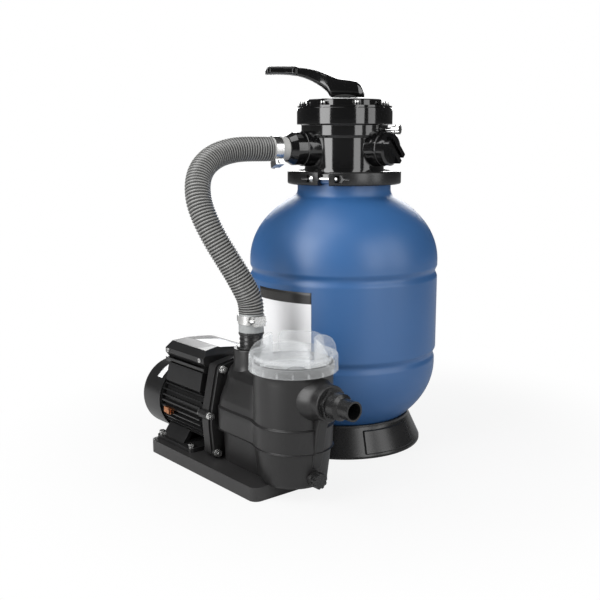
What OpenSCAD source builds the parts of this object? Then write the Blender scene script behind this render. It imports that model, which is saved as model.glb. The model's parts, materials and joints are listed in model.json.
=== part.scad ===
/* [Tank] */
// Radius of the tank barrel between its two grooves
tank_r = 150.5; // [140:0.5:165]
// Amount by which the tank is narrower below its low groove
tank_low_inset = 1.5; // [0:0.5:4]
// Wall thickness of the tank
tank_wall = 6; // [5:0.5:8]
// Height at which the lower dome springs from the barrel
low_spring_z = 132; // [126:1:140]
// Distance of the upper dome's spring line below the neck's joint
high_spring_drop = 130.5; // [124:0.5:136]
// Height of each dome if it were a whole half ellipse
dome_h = 118; // [112:1:124]
// Distance of each groove from the nearer dome's spring line
groove_inset = 16; // [13:1:20]
// Depth of each groove
groove_depth = 3.2; // [1:0.2:4]
// Width of each groove
groove_w = 20; // [12:1:24]
// Outer radius of the neck
neck_r = 74; // [71:0.5:75]
// Inner radius of the neck
neck_bore_r = 62; // [58:0.5:66]
// Radius of the neck's flange and of the valve's flange
neck_flange_r = 80; // [78.5:0.5:81]
// Thickness of the neck's flange
neck_flange_t = 6.5; // [5:0.5:8]

/* [Foot] */
// Radius of the foot on the floor
foot_r = 127.5; // [120:0.5:140]
// Radius of the foot's upper edge
foot_top_r = 109; // [107:0.5:112]
// Height of the foot
foot_h = 48; // [46:0.5:50]
// Wall thickness of the foot
foot_wall = 4; // [3:0.5:6]
// Angle that each raised panel spans
foot_panel_deg = 46; // [20:1:80]
// Height of a raised panel above the skirt
foot_panel_t = 1.2; // [0.6:0.1:2]

/* [Clamp] */
// Outer radius of the clamp ring
clamp_r = 90; // [88:0.5:96]
// Height of the clamp ring
clamp_h = 21; // [20:0.5:26]
// Direction of the clamp's front gap
clamp_gap_deg = -63; // [-75:1:-50]
// Width of each gap between the two halves
clamp_gap = 18; // [12:1:24]
// Radius of the clamp's bolts
clamp_bolt_r = 2.5; // [2:0.1:3]

/* [Valve] */
// Radius of the valve's lower body
valve_low_r = 62.5; // [60:0.5:66]
// Radius of the valve's bowl below its flange
valve_bowl_r = 68; // [66:0.5:72]
// Radius of the valve's upper flange
valve_flange_r = 75; // [74:0.5:80]
// Height of the valve body above the neck's joint
valve_h = 106.5; // [104:0.5:110]
// Height of the bowl with its flange
valve_bowl_h = 45; // [43:0.5:48]
// Height of the upper flange
valve_flange_h = 25; // [21:0.5:29]
// Radius of the rotor chamber
chamber_r = 57; // [54:0.5:58]
// Depth of the rotor chamber below the flange's face
chamber_depth = 41; // [39:0.5:42]
// Height of the ports' axes above the neck's joint
port_rise = 44.5; // [42:0.5:46]
// Radius of each port boss
port_r = 26.5; // [25:0.5:28]
// Bore radius of each port
port_bore_r = 17; // [15:0.5:19]
// Direction of the pump port
pump_port_deg = -101; // [-108:1:-94]
// Angle between neighbouring ports
port_pitch_deg = 111; // [105:1:120]
// Distance of the port faces from the tank axis
port_reach = 78; // [76:0.5:84]

/* [Valve cover] */
// Radius of the cover's raised disc
cover_r = 61; // [58:0.5:62]
// Thickness of the cover's rim
cover_rim_t = 3; // [2.5:0.5:4]
// Height of the cover above the valve's flange
cover_h = 13; // [11.5:0.5:15]
// Number of cover screws
cover_screw_count = 8; // [6:1:10]
// Pitch radius of the cover screws
cover_screw_pcr = 67.5; // [67:0.5:68.5]
// Radius of a cover screw
cover_screw_r = 2.5; // [2:0.1:2.8]
// Length of a cover screw in the valve's flange
cover_screw_l = 15; // [12:0.5:17]
// Radius of the selector stem
stem_r = 9; // [7.5:0.5:9.5]

/* [Handle] */
// Height of the handle's top, the overall height
handle_top_z = 597; // [560:1:640]
// Height of the handle's top above the valve cover
handle_h = 51; // [49:0.5:56]
// Reach of the lever from the selector axis
lever_reach = 124; // [115:1:135]
// Direction in which the lever points
lever_deg = -132; // [-150:1:-115]
// Width of the handle's hub
hub_w = 34; // [30:1:40]
// Width of the lever
lever_w = 20; // [16:1:26]
// Width of the grip
grip_w = 25; // [20:1:30]
// Depth of the handle's pin below the handle's top
pin_drop = 35; // [34:0.5:37]
// Radius of the handle's pin
pin_r = 4; // [3:0.5:4.5]

/* [Hose] */
// Outer radius of the hose over its ribs
hose_r = 18.5; // [17.8:0.1:19.5]
// Radius in the hose's rib valleys
hose_valley_r = 16.9; // [16.6:0.1:17.2]
// Bore radius of the hose
hose_bore_r = 15.6; // [15.2:0.1:16]
// Number of ribs
hose_ribs = 84; // [40:1:100]
// Length of each smooth cuff
cuff_l = 28; // [24:1:34]
// Wall thickness of the hose spigots
spigot_wall = 2.6; // [2:0.2:3.5]
// Width of a hose clamp's band
band_w = 12.5; // [8:0.5:14]
// Thickness of a hose clamp's band
band_t = 0.8; // [0.6:0.1:1.2]

/* [Pump base] */
// Distance of the pump's centre plane from the tank axis
pump_y = 221; // [216:1:240]
// Length of the base plate
base_l = 275; // [268:1:290]
// Width of the base plate
base_w = 138; // [132:1:150]
// Height of the base plate
base_h = 20; // [18:0.5:24]
// Place of the base plate's front end along the pump
base_front_x = 143; // [140:1:150]
// Wall thickness of the base plate
base_wall = 5; // [4:0.5:7]
// Corner radius of the base plate
base_corner_r = 12; // [8:1:18]

/* [Motor] */
// Height of the motor axis
motor_z = 80; // [78:0.5:84]
// Radius over the cooling fins
fin_r = 52; // [50:0.5:54]
// Radius of the motor's barrel
barrel_r = 45; // [43:0.5:46]
// Bore radius of the motor's barrel
barrel_bore_r = 41; // [38:0.5:41.5]
// Distance of the barrel's rear end from the base's
barrel_inset = 7; // [3:0.5:12]
// Thickness of a cooling fin
fin_t = 2.2; // [1.6:0.1:3]
// Angle between neighbouring fins
fin_pitch_deg = 10; // [9:1:12]
// Outer radius of the fan cover
fan_cover_r = 55; // [54:0.5:58]
// Length of the fan cover behind the barrel
fan_cover_l = 52; // [46:1:60]
// Wall thickness of the fan cover
fan_cover_wall = 2; // [1.5:0.5:3]
// Radius of the motor shaft
shaft_r = 6; // [5:0.5:7]
// Outer radius of the rotor core
core_r = 24; // [20:0.5:26]

/* [Terminal box] */
// Distance of the terminal box from the barrel's rear end
box_inset = 3; // [1:0.5:8]
// Distance of the terminal box from the motor bracket
box_gap = 6; // [4:0.5:14]
// Half width of the terminal box
box_half_w = 42; // [38:0.5:46]
// Height of the terminal box's top
box_top_z = 180; // [177:0.5:188]
// Height of the joint between the box and the motor's pad
pad_z = 143; // [140:0.5:146]
// Wall thickness of the terminal box
box_wall = 2.5; // [2:0.5:3.5]

/* [Wet end] */
// Rear face of the motor bracket along the pump
bracket_x = -10; // [-12:0.5:-8]
// Thickness of the motor bracket
bracket_t = 16; // [14:0.5:18]
// Half width of the bracket at the motor axis
bracket_half_w = 50; // [48:0.5:54]
// Height of the bracket's upper edge
bracket_top_z = 167; // [164:0.5:172]
// Radius of the bracket's bolts
bracket_bolt_r = 3; // [2.5:0.25:3.5]
// Place of the strainer pot's axis along the pump
pot_x = 142.5; // [138:0.5:148]
// Outer radius of the strainer pot
pot_r = 55; // [53:0.5:57]
// Wall thickness of the wet end
pot_wall = 4.5; // [3.5:0.5:5]
// Height of the upper seam
seam_high_z = 104; // [101:0.5:108]
// Height of the lower seam
seam_low_z = 70; // [66:0.5:74]
// Place of the outlet's axis along the pump
outlet_x = 46.5; // [44:0.5:50]
// Radius of the outlet socket
outlet_r = 26; // [24.5:0.5:28]
// Height of the outlet socket's top
outlet_top_z = 190; // [186:0.5:194]
// Height of the suction inlet's axis
inlet_z = 145; // [142:0.5:148]
// Radius of the inlet boss
inlet_r = 25; // [23.5:0.5:27]
// Place of the inlet boss's face along the pump
inlet_face_x = 221; // [217:0.5:226]
// Place of the suction adapter's open end along the pump
inlet_end_x = 265; // [258:1:274]
// Radius of the suction adapter's outer step
suction_r = 13.5; // [12:0.5:15.5]
// Radius of the impeller
impeller_r = 34; // [30:0.5:35]

/* [Strainer] */
// Outer radius of the lid
lid_r = 61.5; // [61:0.5:65]
// Height of the lid's lower rim
lid_low_z = 177; // [175:0.5:179]
// Height of the lid's upper rim
lid_rim_z = 200; // [198:0.5:204]
// Height of the lid's grip wings
wing_top_z = 224; // [218:0.5:234]
// Angle that each wing spans
wing_deg = 66; // [50:1:74]
// Thickness of the lid's walls
lid_wall = 3; // [2.4:0.2:3.6]
// Radius of the basket below its rim
basket_r = 45; // [40:0.5:46.5]

/* [Hidden] */

$fn = 96;
// Room between pieces that move on one another
move_gap = 0.4;
// Room between pieces that are fixed together
seat_gap = 0.1;
// Radial room of a turning fit
run_gap = 0.06;
// Overrun of a cut past a face
cut = 1;

// Colours
tank_blue = "#2d5c96";
gloss_black = "#141416";
satin_black = "#2a2b2c";
charcoal = "#3a3a3b";
hose_grey = "#8a8b8b";
steel = "#c8c9ca";
seal_black = "#1b1b1b";
clear_white = [0.92, 0.94, 0.95, 0.5];

// Points of a cubic curve, without its first point
function curve(a, b, c, d, n) =
  [for (i = [1:n]) let (t = i / n, s = 1 - t) s*s*s*a + 3*s*s*t*b + 3*s*t*t*c + t*t*t*d];
// Outline from its half and the mirrored half
function both_sides(half) = concat(half, [for (i = [len(half) - 1:-1:0]) [-half[i][0], half[i][1]]]);

// Ring about the vertical axis
module ring(r_out, r_in, h) {
  difference() {
    cylinder(r = r_out, h = h);
    translate([0, 0, -cut]) cylinder(r = r_in, h = h + 2 * cut);
  }
}
// Round ring of a seal about the vertical axis
module seal_ring(r, wire_r) {
  rotate_extrude() translate([r, 0]) circle(r = wire_r, $fn = 24);
}
// Square groove for a seal, half on each side
module seal_groove(r, wire_r) {
  translate([0, 0, -wire_r]) ring(r + wire_r, r - wire_r, 2 * wire_r);
}
// Hexagon across its flats
module hex(flats, h) {
  cylinder(r = flats / sqrt(3), h = h, $fn = 6);
}
// Copies at equal angles about the vertical axis
module around(count, start = 0) {
  for (i = [0:count - 1]) rotate([0, 0, start + i * 360 / count]) children();
}
// Frame of the pump: along X on the pump's centre plane
module at_pump(x, z = 0) {
  translate([x, -pump_y, z]) children();
}
// Frame with the vertical axis along the pump
module along_pump(x, z) {
  translate([x, -pump_y, z]) rotate([0, 90, 0]) children();
}
// Frame of a port, vertical axis outwards
module at_port(deg, reach = 0) {
  rotate([0, 0, deg]) translate([reach, 0, port_z]) rotate([0, 90, 0]) children();
}
// Outline drawn across the pump and drawn out along it
module across_pump(x, l) {
  translate([x, -pump_y, 0]) rotate([90, 0, 90]) linear_extrude(l) children();
}

// Heights from the handle's top down to the tank
cover_top_z = handle_top_z - handle_h;
pin_z = handle_top_z - pin_drop;
valve_top_z = cover_top_z - cover_h;
valve_flange_z = valve_top_z - valve_flange_h;
valve_step_z = valve_top_z - valve_bowl_h;
seat_z = valve_top_z - chamber_depth;
neck_joint_z = valve_top_z - valve_h;
port_z = neck_joint_z + port_rise;
high_spring_z = neck_joint_z - high_spring_drop;

cap_port_deg = pump_port_deg + port_pitch_deg;
return_port_deg = pump_port_deg + 2 * port_pitch_deg;
port_degs = [pump_port_deg, cap_port_deg, return_port_deg];

// Tank

bottom_z = 20;
dome_n = 16;
groove_n = 8;
neck_fillet = 7;
flange_gap = 0.5;
tank_low_r = tank_r - tank_low_inset;
low_groove_z = low_spring_z + groove_inset;
high_groove_z = high_spring_z - groove_inset;
neck_top_z = neck_joint_z - flange_gap;
neck_low_z = neck_top_z - neck_flange_t;
label_deg = 40;
label_t = 0.5;
label_low_z = low_groove_z + 14;
label_high_z = high_groove_z - 17;
label_start_deg = -100.5;
drain_deg = 100;
drain_z = 70;
drain_boss_r = 13;
drain_boss_l = 34;
drain_bore_r = 7;
drain_bore_l = 60;
drain_out = 9.2;
// Radius of the lower dome at a height, inside a wall
function lower_r(z, wall = 0) =
  (tank_low_r - wall) * sqrt(1 - pow((low_spring_z - z) / (dome_h - wall), 2));
drain_reach = lower_r(drain_z) + drain_out;

function ellipse(r, h, z, from, to, up) =
  [for (i = [0:dome_n]) let (a = from + (to - from) * i / dome_n) [r * cos(a), z + up * h * sin(a)]];
function groove(z, r_low, r_high) =
  [for (i = [0:groove_n]) let (t = i / groove_n)
    [r_low + (r_high - r_low) * t - groove_depth * (1 - cos(360 * t)) / 2, z + (t - 0.5) * groove_w]];
bottom_a = asin((low_spring_z - bottom_z) / dome_h);
neck_a = acos((neck_r + neck_fillet * 0.6) / tank_r);
neck_in_a = acos(neck_bore_r / (tank_r - tank_wall));
floor_a = asin((low_spring_z - bottom_z - tank_wall) / (dome_h - tank_wall));
dome_neck_z = high_spring_z + dome_h * sin(neck_a);
tank_outside = concat(
  [[0, bottom_z]],
  ellipse(tank_low_r, dome_h, low_spring_z, bottom_a, 0, -1),
  groove(low_groove_z, tank_low_r, tank_r),
  groove(high_groove_z, tank_r, tank_r),
  ellipse(tank_r, dome_h, high_spring_z, 0, neck_a, 1),
  curve([neck_r + neck_fillet * 0.6, dome_neck_z],
    [neck_r + neck_fillet * 0.2, dome_neck_z + neck_fillet * 0.2],
    [neck_r, dome_neck_z + neck_fillet * 0.5], [neck_r, dome_neck_z + neck_fillet], 4),
  [[neck_r, neck_low_z], [neck_flange_r, neck_low_z], [neck_flange_r, neck_top_z]]);
tank_inside = concat(
  [[neck_bore_r, neck_top_z]],
  ellipse(tank_r - tank_wall, dome_h - tank_wall, high_spring_z, neck_in_a, 0, 1),
  ellipse(tank_low_r - tank_wall, dome_h - tank_wall, low_spring_z, 0, floor_a, -1),
  [[0, bottom_z + tank_wall]]);
neck_seal_r = (neck_bore_r + neck_flange_r) / 2;
neck_seal_wire = 2.6;

// Frame of the tank's drain, pointing outwards
module at_drain(reach) {
  rotate([0, 0, drain_deg]) translate([reach, 0, drain_z]) rotate([0, 90, 0]) children();
}
// Solid of the lower dome, grown by a clearance
module lower_dome(grow) {
  rotate_extrude() polygon(concat([[0, bottom_z - grow]],
    [for (p = ellipse(tank_low_r, dome_h, low_spring_z, bottom_a, 0, -1)) p + [grow, -grow]],
    [[0, low_spring_z]]));
}
module tank_foot() {
  panel_low_z = 7;
  rib_h = 14;
  lip = 4;
  seat_w = 20;
  hub_r = 16;
  panel_turn_deg = -2;
  panel_sink = 2;
  slope = (foot_r - foot_top_r) / (foot_h - 2 * lip);
  panel_low_r = foot_r - (panel_low_z - lip) * slope;
  panel_high_r = foot_top_r + lip * slope;
  rib_reach = foot_r - (rib_h - lip) * slope - foot_wall / 2;
  color(satin_black) {
    difference() {
      union() {
        rotate_extrude() polygon([[foot_r, 0], [foot_r, lip], [foot_top_r, foot_h - lip],
          [foot_top_r, foot_h], [foot_top_r - foot_wall, foot_h], [foot_top_r - foot_wall, foot_h - lip],
          [foot_r - foot_wall, lip], [foot_r - foot_wall, 0]]);
        translate([0, 0, foot_h - seat_w]) ring(foot_top_r - 0.5, foot_top_r - seat_w, seat_w);
        for (a = [0:90:270]) rotate([0, 0, a + panel_turn_deg - foot_panel_deg / 2])
          rotate_extrude(angle = foot_panel_deg) polygon([[panel_low_r - panel_sink, panel_low_z],
            [panel_low_r + foot_panel_t, panel_low_z], [panel_high_r + foot_panel_t, foot_h - 2 * lip],
            [panel_high_r - panel_sink, foot_h - 2 * lip]]);
      }
      lower_dome(seat_gap);
    }
    difference() {
      linear_extrude(rib_h) union() {
        circle(r = hub_r);
        for (a = [45, 135]) rotate(a) square([2 * rib_reach, foot_wall], center = true);
      }
      lower_dome(seat_gap);
    }
  }
}
module tank_shell() {
  color(tank_blue) difference() {
    union() {
      rotate_extrude() polygon(concat(tank_outside, tank_inside));
      difference() {
        at_drain(drain_reach - drain_boss_l) cylinder(r = drain_boss_r, h = drain_boss_l);
        lower_dome(-tank_wall / 2);
      }
    }
    at_drain(drain_reach - drain_bore_l) cylinder(r = drain_bore_r, h = drain_bore_l + cut);
    translate([0, 0, neck_joint_z]) seal_groove(neck_seal_r, neck_seal_wire + 0.05);
  }
}
module tank_label() {
  color("white") rotate([0, 0, label_start_deg]) rotate_extrude(angle = label_deg)
    translate([tank_r + seat_gap, label_low_z]) square([label_t, label_high_z - label_low_z]);
}
module tank_drain_plug() {
  head_r = 11;
  head_l = 12;
  notch_r = 3;
  notch_from = 2;
  stem_l = 24;
  color(satin_black) {
    at_drain(drain_reach + move_gap) difference() {
      cylinder(r = head_r, h = head_l);
      around(8) translate([head_r + notch_r / 2, 0, notch_from]) cylinder(r = notch_r, h = head_l);
    }
    at_drain(drain_reach - stem_l) cylinder(r = drain_bore_r - move_gap, h = stem_l + 2 * move_gap);
  }
}

pipe_r = 20;
pipe_bore_r = 17.5;
lateral_z = 58;
lateral_r = 6;
lateral_bore_r = 4.5;
lateral_count = 8;
lateral_start = 24;
lateral_room = 2;
lateral_end = lower_r(lateral_z - lateral_r, tank_wall) - lateral_room;
hub_r = 32;
hub_low_z = bottom_z + tank_wall + 2;
hub_cup_h = 2 * lateral_r + 6;
pipe_low_z = lateral_z + hub_cup_h / 2 + 4;
pipe_high_z = port_z + 6;
module standpipe() {
  color("whitesmoke") translate([0, 0, pipe_low_z]) ring(pipe_r, pipe_bore_r, pipe_high_z - pipe_low_z);
}
module lateral_hub() {
  socket_h = 24;
  color("whitesmoke") difference() {
    union() {
      translate([0, 0, hub_low_z]) cylinder(r = hub_r, h = pipe_low_z - hub_low_z + 2);
      translate([0, 0, pipe_low_z]) cylinder(r = pipe_r + 4, h = socket_h);
    }
    translate([0, 0, pipe_low_z]) cylinder(r = pipe_r + seat_gap, h = socket_h + cut);
    translate([0, 0, lateral_z - hub_cup_h / 2]) cylinder(r = pipe_bore_r, h = hub_cup_h + 10);
    around(lateral_count) translate([pipe_bore_r - 2, 0, lateral_z]) rotate([0, 90, 0])
      cylinder(r = lateral_r + seat_gap, h = hub_r);
  }
}
module laterals() {
  slot_count = 7;
  slot_w = 0.8;
  slot_margin = 8;
  end_t = 3;
  lateral_l = lateral_end - lateral_start;
  slot_pitch = (lateral_end - hub_r - 2 * slot_margin) / (slot_count - 1);
  color("whitesmoke") around(lateral_count) translate([0, 0, lateral_z]) difference() {
    translate([lateral_start, 0, 0]) rotate([0, 90, 0]) cylinder(r = lateral_r, h = lateral_l);
    translate([lateral_start - cut, 0, 0]) rotate([0, 90, 0])
      cylinder(r = lateral_bore_r, h = lateral_l - end_t + cut);
    for (i = [0:slot_count - 1])
      translate([hub_r + slot_margin + i * slot_pitch, -lateral_r - cut, -lateral_r - cut])
        cube([slot_w, 2 * (lateral_r + cut), lateral_r]);
  }
}
module top_diffuser() {
  diffuser_r = 44;
  diffuser_h = 46;
  wall = 3;
  rise = 1;
  slot_count = 12;
  slot_w = 5;
  slot_from = 8;
  slot_margin = 18;
  color(satin_black) translate([0, 0, neck_joint_z + rise - diffuser_h]) difference() {
    union() {
      ring(diffuser_r, diffuser_r - wall, diffuser_h);
      ring(diffuser_r - wall / 2, pipe_r + move_gap, wall);
    }
    around(slot_count) translate([diffuser_r - 2 * wall, -slot_w / 2, slot_from])
      cube([3 * wall, slot_w, diffuser_h - slot_margin]);
  }
}
module tank_seal() {
  color(seal_black) translate([0, 0, neck_joint_z]) seal_ring(neck_seal_r, neck_seal_wire);
}

// Clamp ring

clamp_half_deg = asin(clamp_gap / 2 / clamp_r);
bolt_x = clamp_r - 6.4;
pocket_from = clamp_gap / 2 + 9;
pocket_l = 11;
pocket_in = 5;
pocket_h = 11;
bolt_head_r = 4.2;
bolt_head_t = 4;
nut_flats = 8;
nut_t = 4;
flange_stack = 2 * (neck_flange_t + flange_gap);

// Section of the ring, with the cavity for both flanges
module clamp_section() {
  edge = 3;
  lip_r = neck_r + 1.5;
  cavity_r = neck_flange_r + 0.4;
  low = -clamp_h / 2;
  inner = flange_stack / 2 + 0.3;
  polygon(concat([[lip_r, low], [clamp_r - edge, low]],
    [for (a = [-60:30:0]) [clamp_r - edge + edge * cos(a), low + edge + edge * sin(a)]],
    [for (a = [0:30:90]) [clamp_r - edge + edge * cos(a), -low - edge + edge * sin(a)]],
    [[lip_r, -low], [lip_r, inner], [cavity_r, inner], [cavity_r, -inner], [lip_r, -inner]]));
}
// One half of the ring, from one gap to the other
module clamp_half(turn) {
  bolt_room = 0.3;
  reach = 60;
  difference() {
    translate([0, 0, neck_joint_z]) rotate([0, 0, clamp_gap_deg + turn + clamp_half_deg])
      rotate_extrude(angle = 180 - 2 * clamp_half_deg) clamp_section();
    for (a = [0, 180]) rotate([0, 0, clamp_gap_deg + a]) translate([bolt_x, 0, neck_joint_z]) {
      translate([0, -reach, 0]) rotate([-90, 0, 0]) cylinder(r = clamp_bolt_r + bolt_room, h = 2 * reach);
      for (s = [-1, 1]) translate([-pocket_in, s > 0 ? pocket_from : -pocket_from - pocket_l, -pocket_h / 2])
        cube([4 * pocket_in, pocket_l, pocket_h]);
    }
  }
}
module clamp_half_left() {
  color(satin_black) clamp_half(180);
}
module clamp_half_right() {
  color(satin_black) clamp_half(0);
}
module clamp_bolts() {
  color(steel) for (a = [0, 180]) rotate([0, 0, clamp_gap_deg + a]) translate([bolt_x, 0, neck_joint_z])
    rotate([-90, 0, 0]) {
      translate([0, 0, -pocket_from - nut_t - 2 * cut])
        cylinder(r = clamp_bolt_r, h = 2 * pocket_from + nut_t + 3 * cut);
      translate([0, 0, pocket_from + seat_gap]) intersection() {
        cylinder(r = bolt_head_r, h = bolt_head_t);
        translate([0, 0, bolt_head_t - 7]) sphere(r = 7);
      }
    }
}
module clamp_nuts() {
  color(steel) for (a = [0, 180]) rotate([0, 0, clamp_gap_deg + a]) translate([bolt_x, 0, neck_joint_z])
    rotate([-90, 0, 0]) translate([0, 0, -pocket_from - nut_t - seat_gap]) difference() {
      hex(nut_flats, nut_t);
      translate([0, 0, -cut]) cylinder(r = clamp_bolt_r + seat_gap, h = nut_t + 2 * cut);
    }
}

// Valve

seat_t = 6;
riser_x = 38;
riser_r = 11;
seat_gasket_t = 2;
rotor_low_z = seat_z + seat_gasket_t + move_gap;
rotor_t = 9;
cover_low_z = valve_top_z + 0.3;
cover_seal_wire = 1.8;
cover_seal_r = chamber_r + 4;
bleed_deg = 22;
bleed_z = seat_z + 8;
cover_screw_deg = -27;
cover_boss_h = 3.5;
bleed_r = 3;
socket_r = pipe_r + 4;

module valve_body() {
  color(gloss_black) difference() {
    union() {
      difference() {
        union() {
          translate([0, 0, neck_joint_z + flange_gap]) cylinder(r = neck_flange_r, h = neck_flange_t);
          translate([0, 0, neck_joint_z + 2]) cylinder(r = valve_low_r, h = valve_step_z - neck_joint_z - 2);
          translate([0, 0, valve_step_z - 0.01]) cylinder(r = valve_low_r + 3, h = 2);
          translate([0, 0, valve_step_z + 1.5]) cylinder(r = valve_bowl_r, h = valve_bowl_h - 3);
          translate([0, 0, valve_flange_z]) cylinder(r = valve_flange_r, h = valve_flange_h);
          for (d = port_degs) at_port(d) cylinder(r = port_r, h = port_reach);
        }
        translate([0, 0, neck_joint_z - cut])
          cylinder(r = neck_bore_r - 8, h = seat_z - seat_t - neck_joint_z + cut);
        translate([0, 0, seat_z]) cylinder(r = chamber_r, h = chamber_depth + cut);
      }
      for (d = port_degs) {
        at_port(d, riser_x - 8) cylinder(r = port_bore_r + 3, h = valve_low_r - riser_x);
        rotate([0, 0, d]) translate([riser_x, 0, port_z - 8])
          cylinder(r = riser_r + 3, h = seat_z - port_z + 6);
      }
      translate([0, 0, neck_joint_z + 8]) cylinder(r = socket_r, h = seat_z - neck_joint_z - 9);
    }
    translate([0, 0, neck_joint_z]) cylinder(r = pipe_r + seat_gap, h = pipe_high_z - neck_joint_z + 0.5);
    translate([0, 0, neck_joint_z]) cylinder(r = pipe_bore_r - 2, h = seat_z - neck_joint_z + cut);
    for (d = port_degs) {
      at_port(d, riser_x) cylinder(r = port_bore_r, h = port_reach - riser_x + cut);
      rotate([0, 0, d]) translate([riser_x, 0, port_z]) cylinder(r = riser_r, h = seat_z - port_z + cut);
    }
    rotate([0, 0, cap_port_deg + port_pitch_deg / 2 + 60]) translate([riser_x + 4, 0, seat_z - seat_t - cut])
      cylinder(r = riser_r - 2, h = seat_t + 2 * cut);
    translate([0, 0, valve_top_z]) seal_groove(cover_seal_r, cover_seal_wire + 0.05);
    translate([0, 0, neck_joint_z]) seal_groove(neck_seal_r, neck_seal_wire + 0.05);
    around(cover_screw_count, cover_screw_deg)
      translate([cover_screw_pcr, 0, valve_top_z - cover_screw_l - 3])
        cylinder(r = cover_screw_r + seat_gap, h = cover_screw_l + 3 + cut);
    rotate([0, 0, bleed_deg]) translate([chamber_r - cut, 0, bleed_z]) rotate([0, 90, 0])
      cylinder(r = bleed_r + run_gap, h = valve_flange_r - chamber_r + 2 * cut);
  }
}
module valve_cover() {
  boss_r = 5.5;
  edge = 1.6;
  roof_t = 5;
  pointer_x = 24;
  pointer_w = 12;
  boss_h = cover_rim_t + cover_boss_h;
  color(gloss_black) difference() {
    union() {
      translate([0, 0, cover_low_z]) cylinder(r = valve_flange_r - 1, h = cover_rim_t);
      translate([0, 0, cover_low_z]) cylinder(r = cover_r, h = cover_top_z - cover_low_z - edge);
      translate([0, 0, cover_top_z - edge - 0.01]) cylinder(r1 = cover_r, r2 = cover_r - edge, h = edge);
      around(cover_screw_count, cover_screw_deg) translate([cover_screw_pcr, 0, cover_low_z])
        cylinder(r = boss_r, h = boss_h);
      rotate([0, 0, lever_deg]) translate([pointer_x, -pointer_w / 2, cover_top_z - 0.5])
        cube([pointer_w, pointer_w, 2.5]);
    }
    translate([0, 0, cover_low_z - cut])
      cylinder(r = cover_r - 6, h = cover_top_z - cover_low_z - roof_t + cut);
    translate([0, 0, cover_low_z - cut]) cylinder(r = stem_r + run_gap, h = cover_h + 2 * cut);
    around(cover_screw_count, cover_screw_deg) translate([cover_screw_pcr, 0, cover_low_z - cut])
      cylinder(r = cover_screw_r + seat_gap, h = boss_h + 2 * cut);
  }
}
module cover_seal() {
  color(seal_black) translate([0, 0, valve_top_z]) intersection() {
    seal_ring(cover_seal_r, cover_seal_wire);
    translate([0, 0, -5]) cylinder(r = valve_flange_r, h = 5.2);
  }
}
module cover_screws() {
  head_r = 4.2;
  head_t = 2.6;
  slot_l = 6;
  slot_w = 1;
  head_z = cover_low_z + cover_rim_t + cover_boss_h + seat_gap;
  color(steel) around(cover_screw_count, cover_screw_deg) translate([cover_screw_pcr, 0, 0]) {
    translate([0, 0, valve_top_z - cover_screw_l])
      cylinder(r = cover_screw_r, h = head_z - valve_top_z + cover_screw_l + cut);
    difference() {
      translate([0, 0, head_z]) cylinder(r = head_r, h = head_t);
      for (a = [0, 90]) translate([0, 0, head_z + head_t]) rotate([0, 0, a])
        cube([slot_l, slot_w, 2 * slot_w], center = true);
    }
  }
}
module seat_gasket() {
  hole_r = riser_r + 1.5;
  color(seal_black) translate([0, 0, seat_z + 0.05]) difference() {
    cylinder(r = chamber_r - 0.4, h = seat_gasket_t);
    translate([0, 0, -cut]) cylinder(r = pipe_bore_r - 1.5, h = seat_gasket_t + 2 * cut);
    around(6, pump_port_deg) translate([riser_x, 0, -cut]) cylinder(r = hole_r, h = seat_gasket_t + 2 * cut);
  }
}
module diverter() {
  pocket_h = 5;
  neck_h = 8;
  flat_z = pin_z - 8;
  stem_top_z = pin_z + 7;
  color(charcoal) difference() {
    union() {
      translate([0, 0, rotor_low_z]) cylinder(r = chamber_r - 1, h = rotor_t);
      translate([0, 0, rotor_low_z + rotor_t - 0.5]) cylinder(r = stem_r + 3, h = neck_h);
      translate([0, 0, rotor_low_z]) cylinder(r = stem_r, h = stem_top_z - rotor_low_z);
    }
    for (d = [pump_port_deg, cap_port_deg]) rotate([0, 0, d]) translate([riser_x, 0, rotor_low_z - cut])
      cylinder(r = riser_r, h = pocket_h + cut);
    rotate([0, 0, lever_deg]) {
      translate([0, -hub_w, pin_z]) rotate([-90, 0, 0]) cylinder(r = pin_r + seat_gap, h = 2 * hub_w);
      for (s = [-1, 1]) translate([-hub_w, s > 0 ? stem_r - 1 : -stem_r - 9, flat_z])
        cube([2 * hub_w, 10, stem_top_z]);
    }
  }
}

// Spring between the diverter and the cover
spring_r = 16;
spring_wire = 1.5;
spring_turns = 4;
spring_steps = 14;
spring_sides = 6;
spring_low_z = rotor_low_z + rotor_t + spring_wire + move_gap;
spring_high_z = cover_top_z - 5 - spring_wire - 0.2;
function spring_point(t) =
  [spring_r * cos(360 * spring_turns * t), spring_r * sin(360 * spring_turns * t),
   spring_low_z + (spring_high_z - spring_low_z) * t];

// Faces of a tube of rings, with both ends closed
function tube_faces(rings, sides) = concat(
  [for (i = [0:rings - 2]) for (j = [0:sides - 1])
    let (a = i * sides + j, b = i * sides + (j + 1) % sides)
      each [[a, b, b + sides], [a, b + sides, a + sides]]],
  [for (j = [1:sides - 2]) [0, j + 1, j]],
  [for (j = [1:sides - 2]) let (e = (rings - 1) * sides) [e, e + j, e + j + 1]]);
function unit(v) = v / norm(v);
module diverter_spring() {
  rings = spring_turns * spring_steps;
  color(steel) polyhedron(
    points = [for (i = [0:rings]) let (t = i / rings, c = spring_point(t), out = unit([c[0], c[1], 0]))
      for (j = [0:spring_sides - 1]) let (a = -360 * j / spring_sides)
        c + spring_wire * (cos(a) * out + sin(a) * [0, 0, 1])],
    faces = tube_faces(rings + 1, spring_sides));
}
washer_t = 2;
washer_gap = 0.3;
module slip_washer() {
  washer_r = 20;
  color("gainsboro") translate([0, 0, cover_top_z + washer_gap]) ring(washer_r, stem_r + move_gap, washer_t);
}

// Handle

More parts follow.
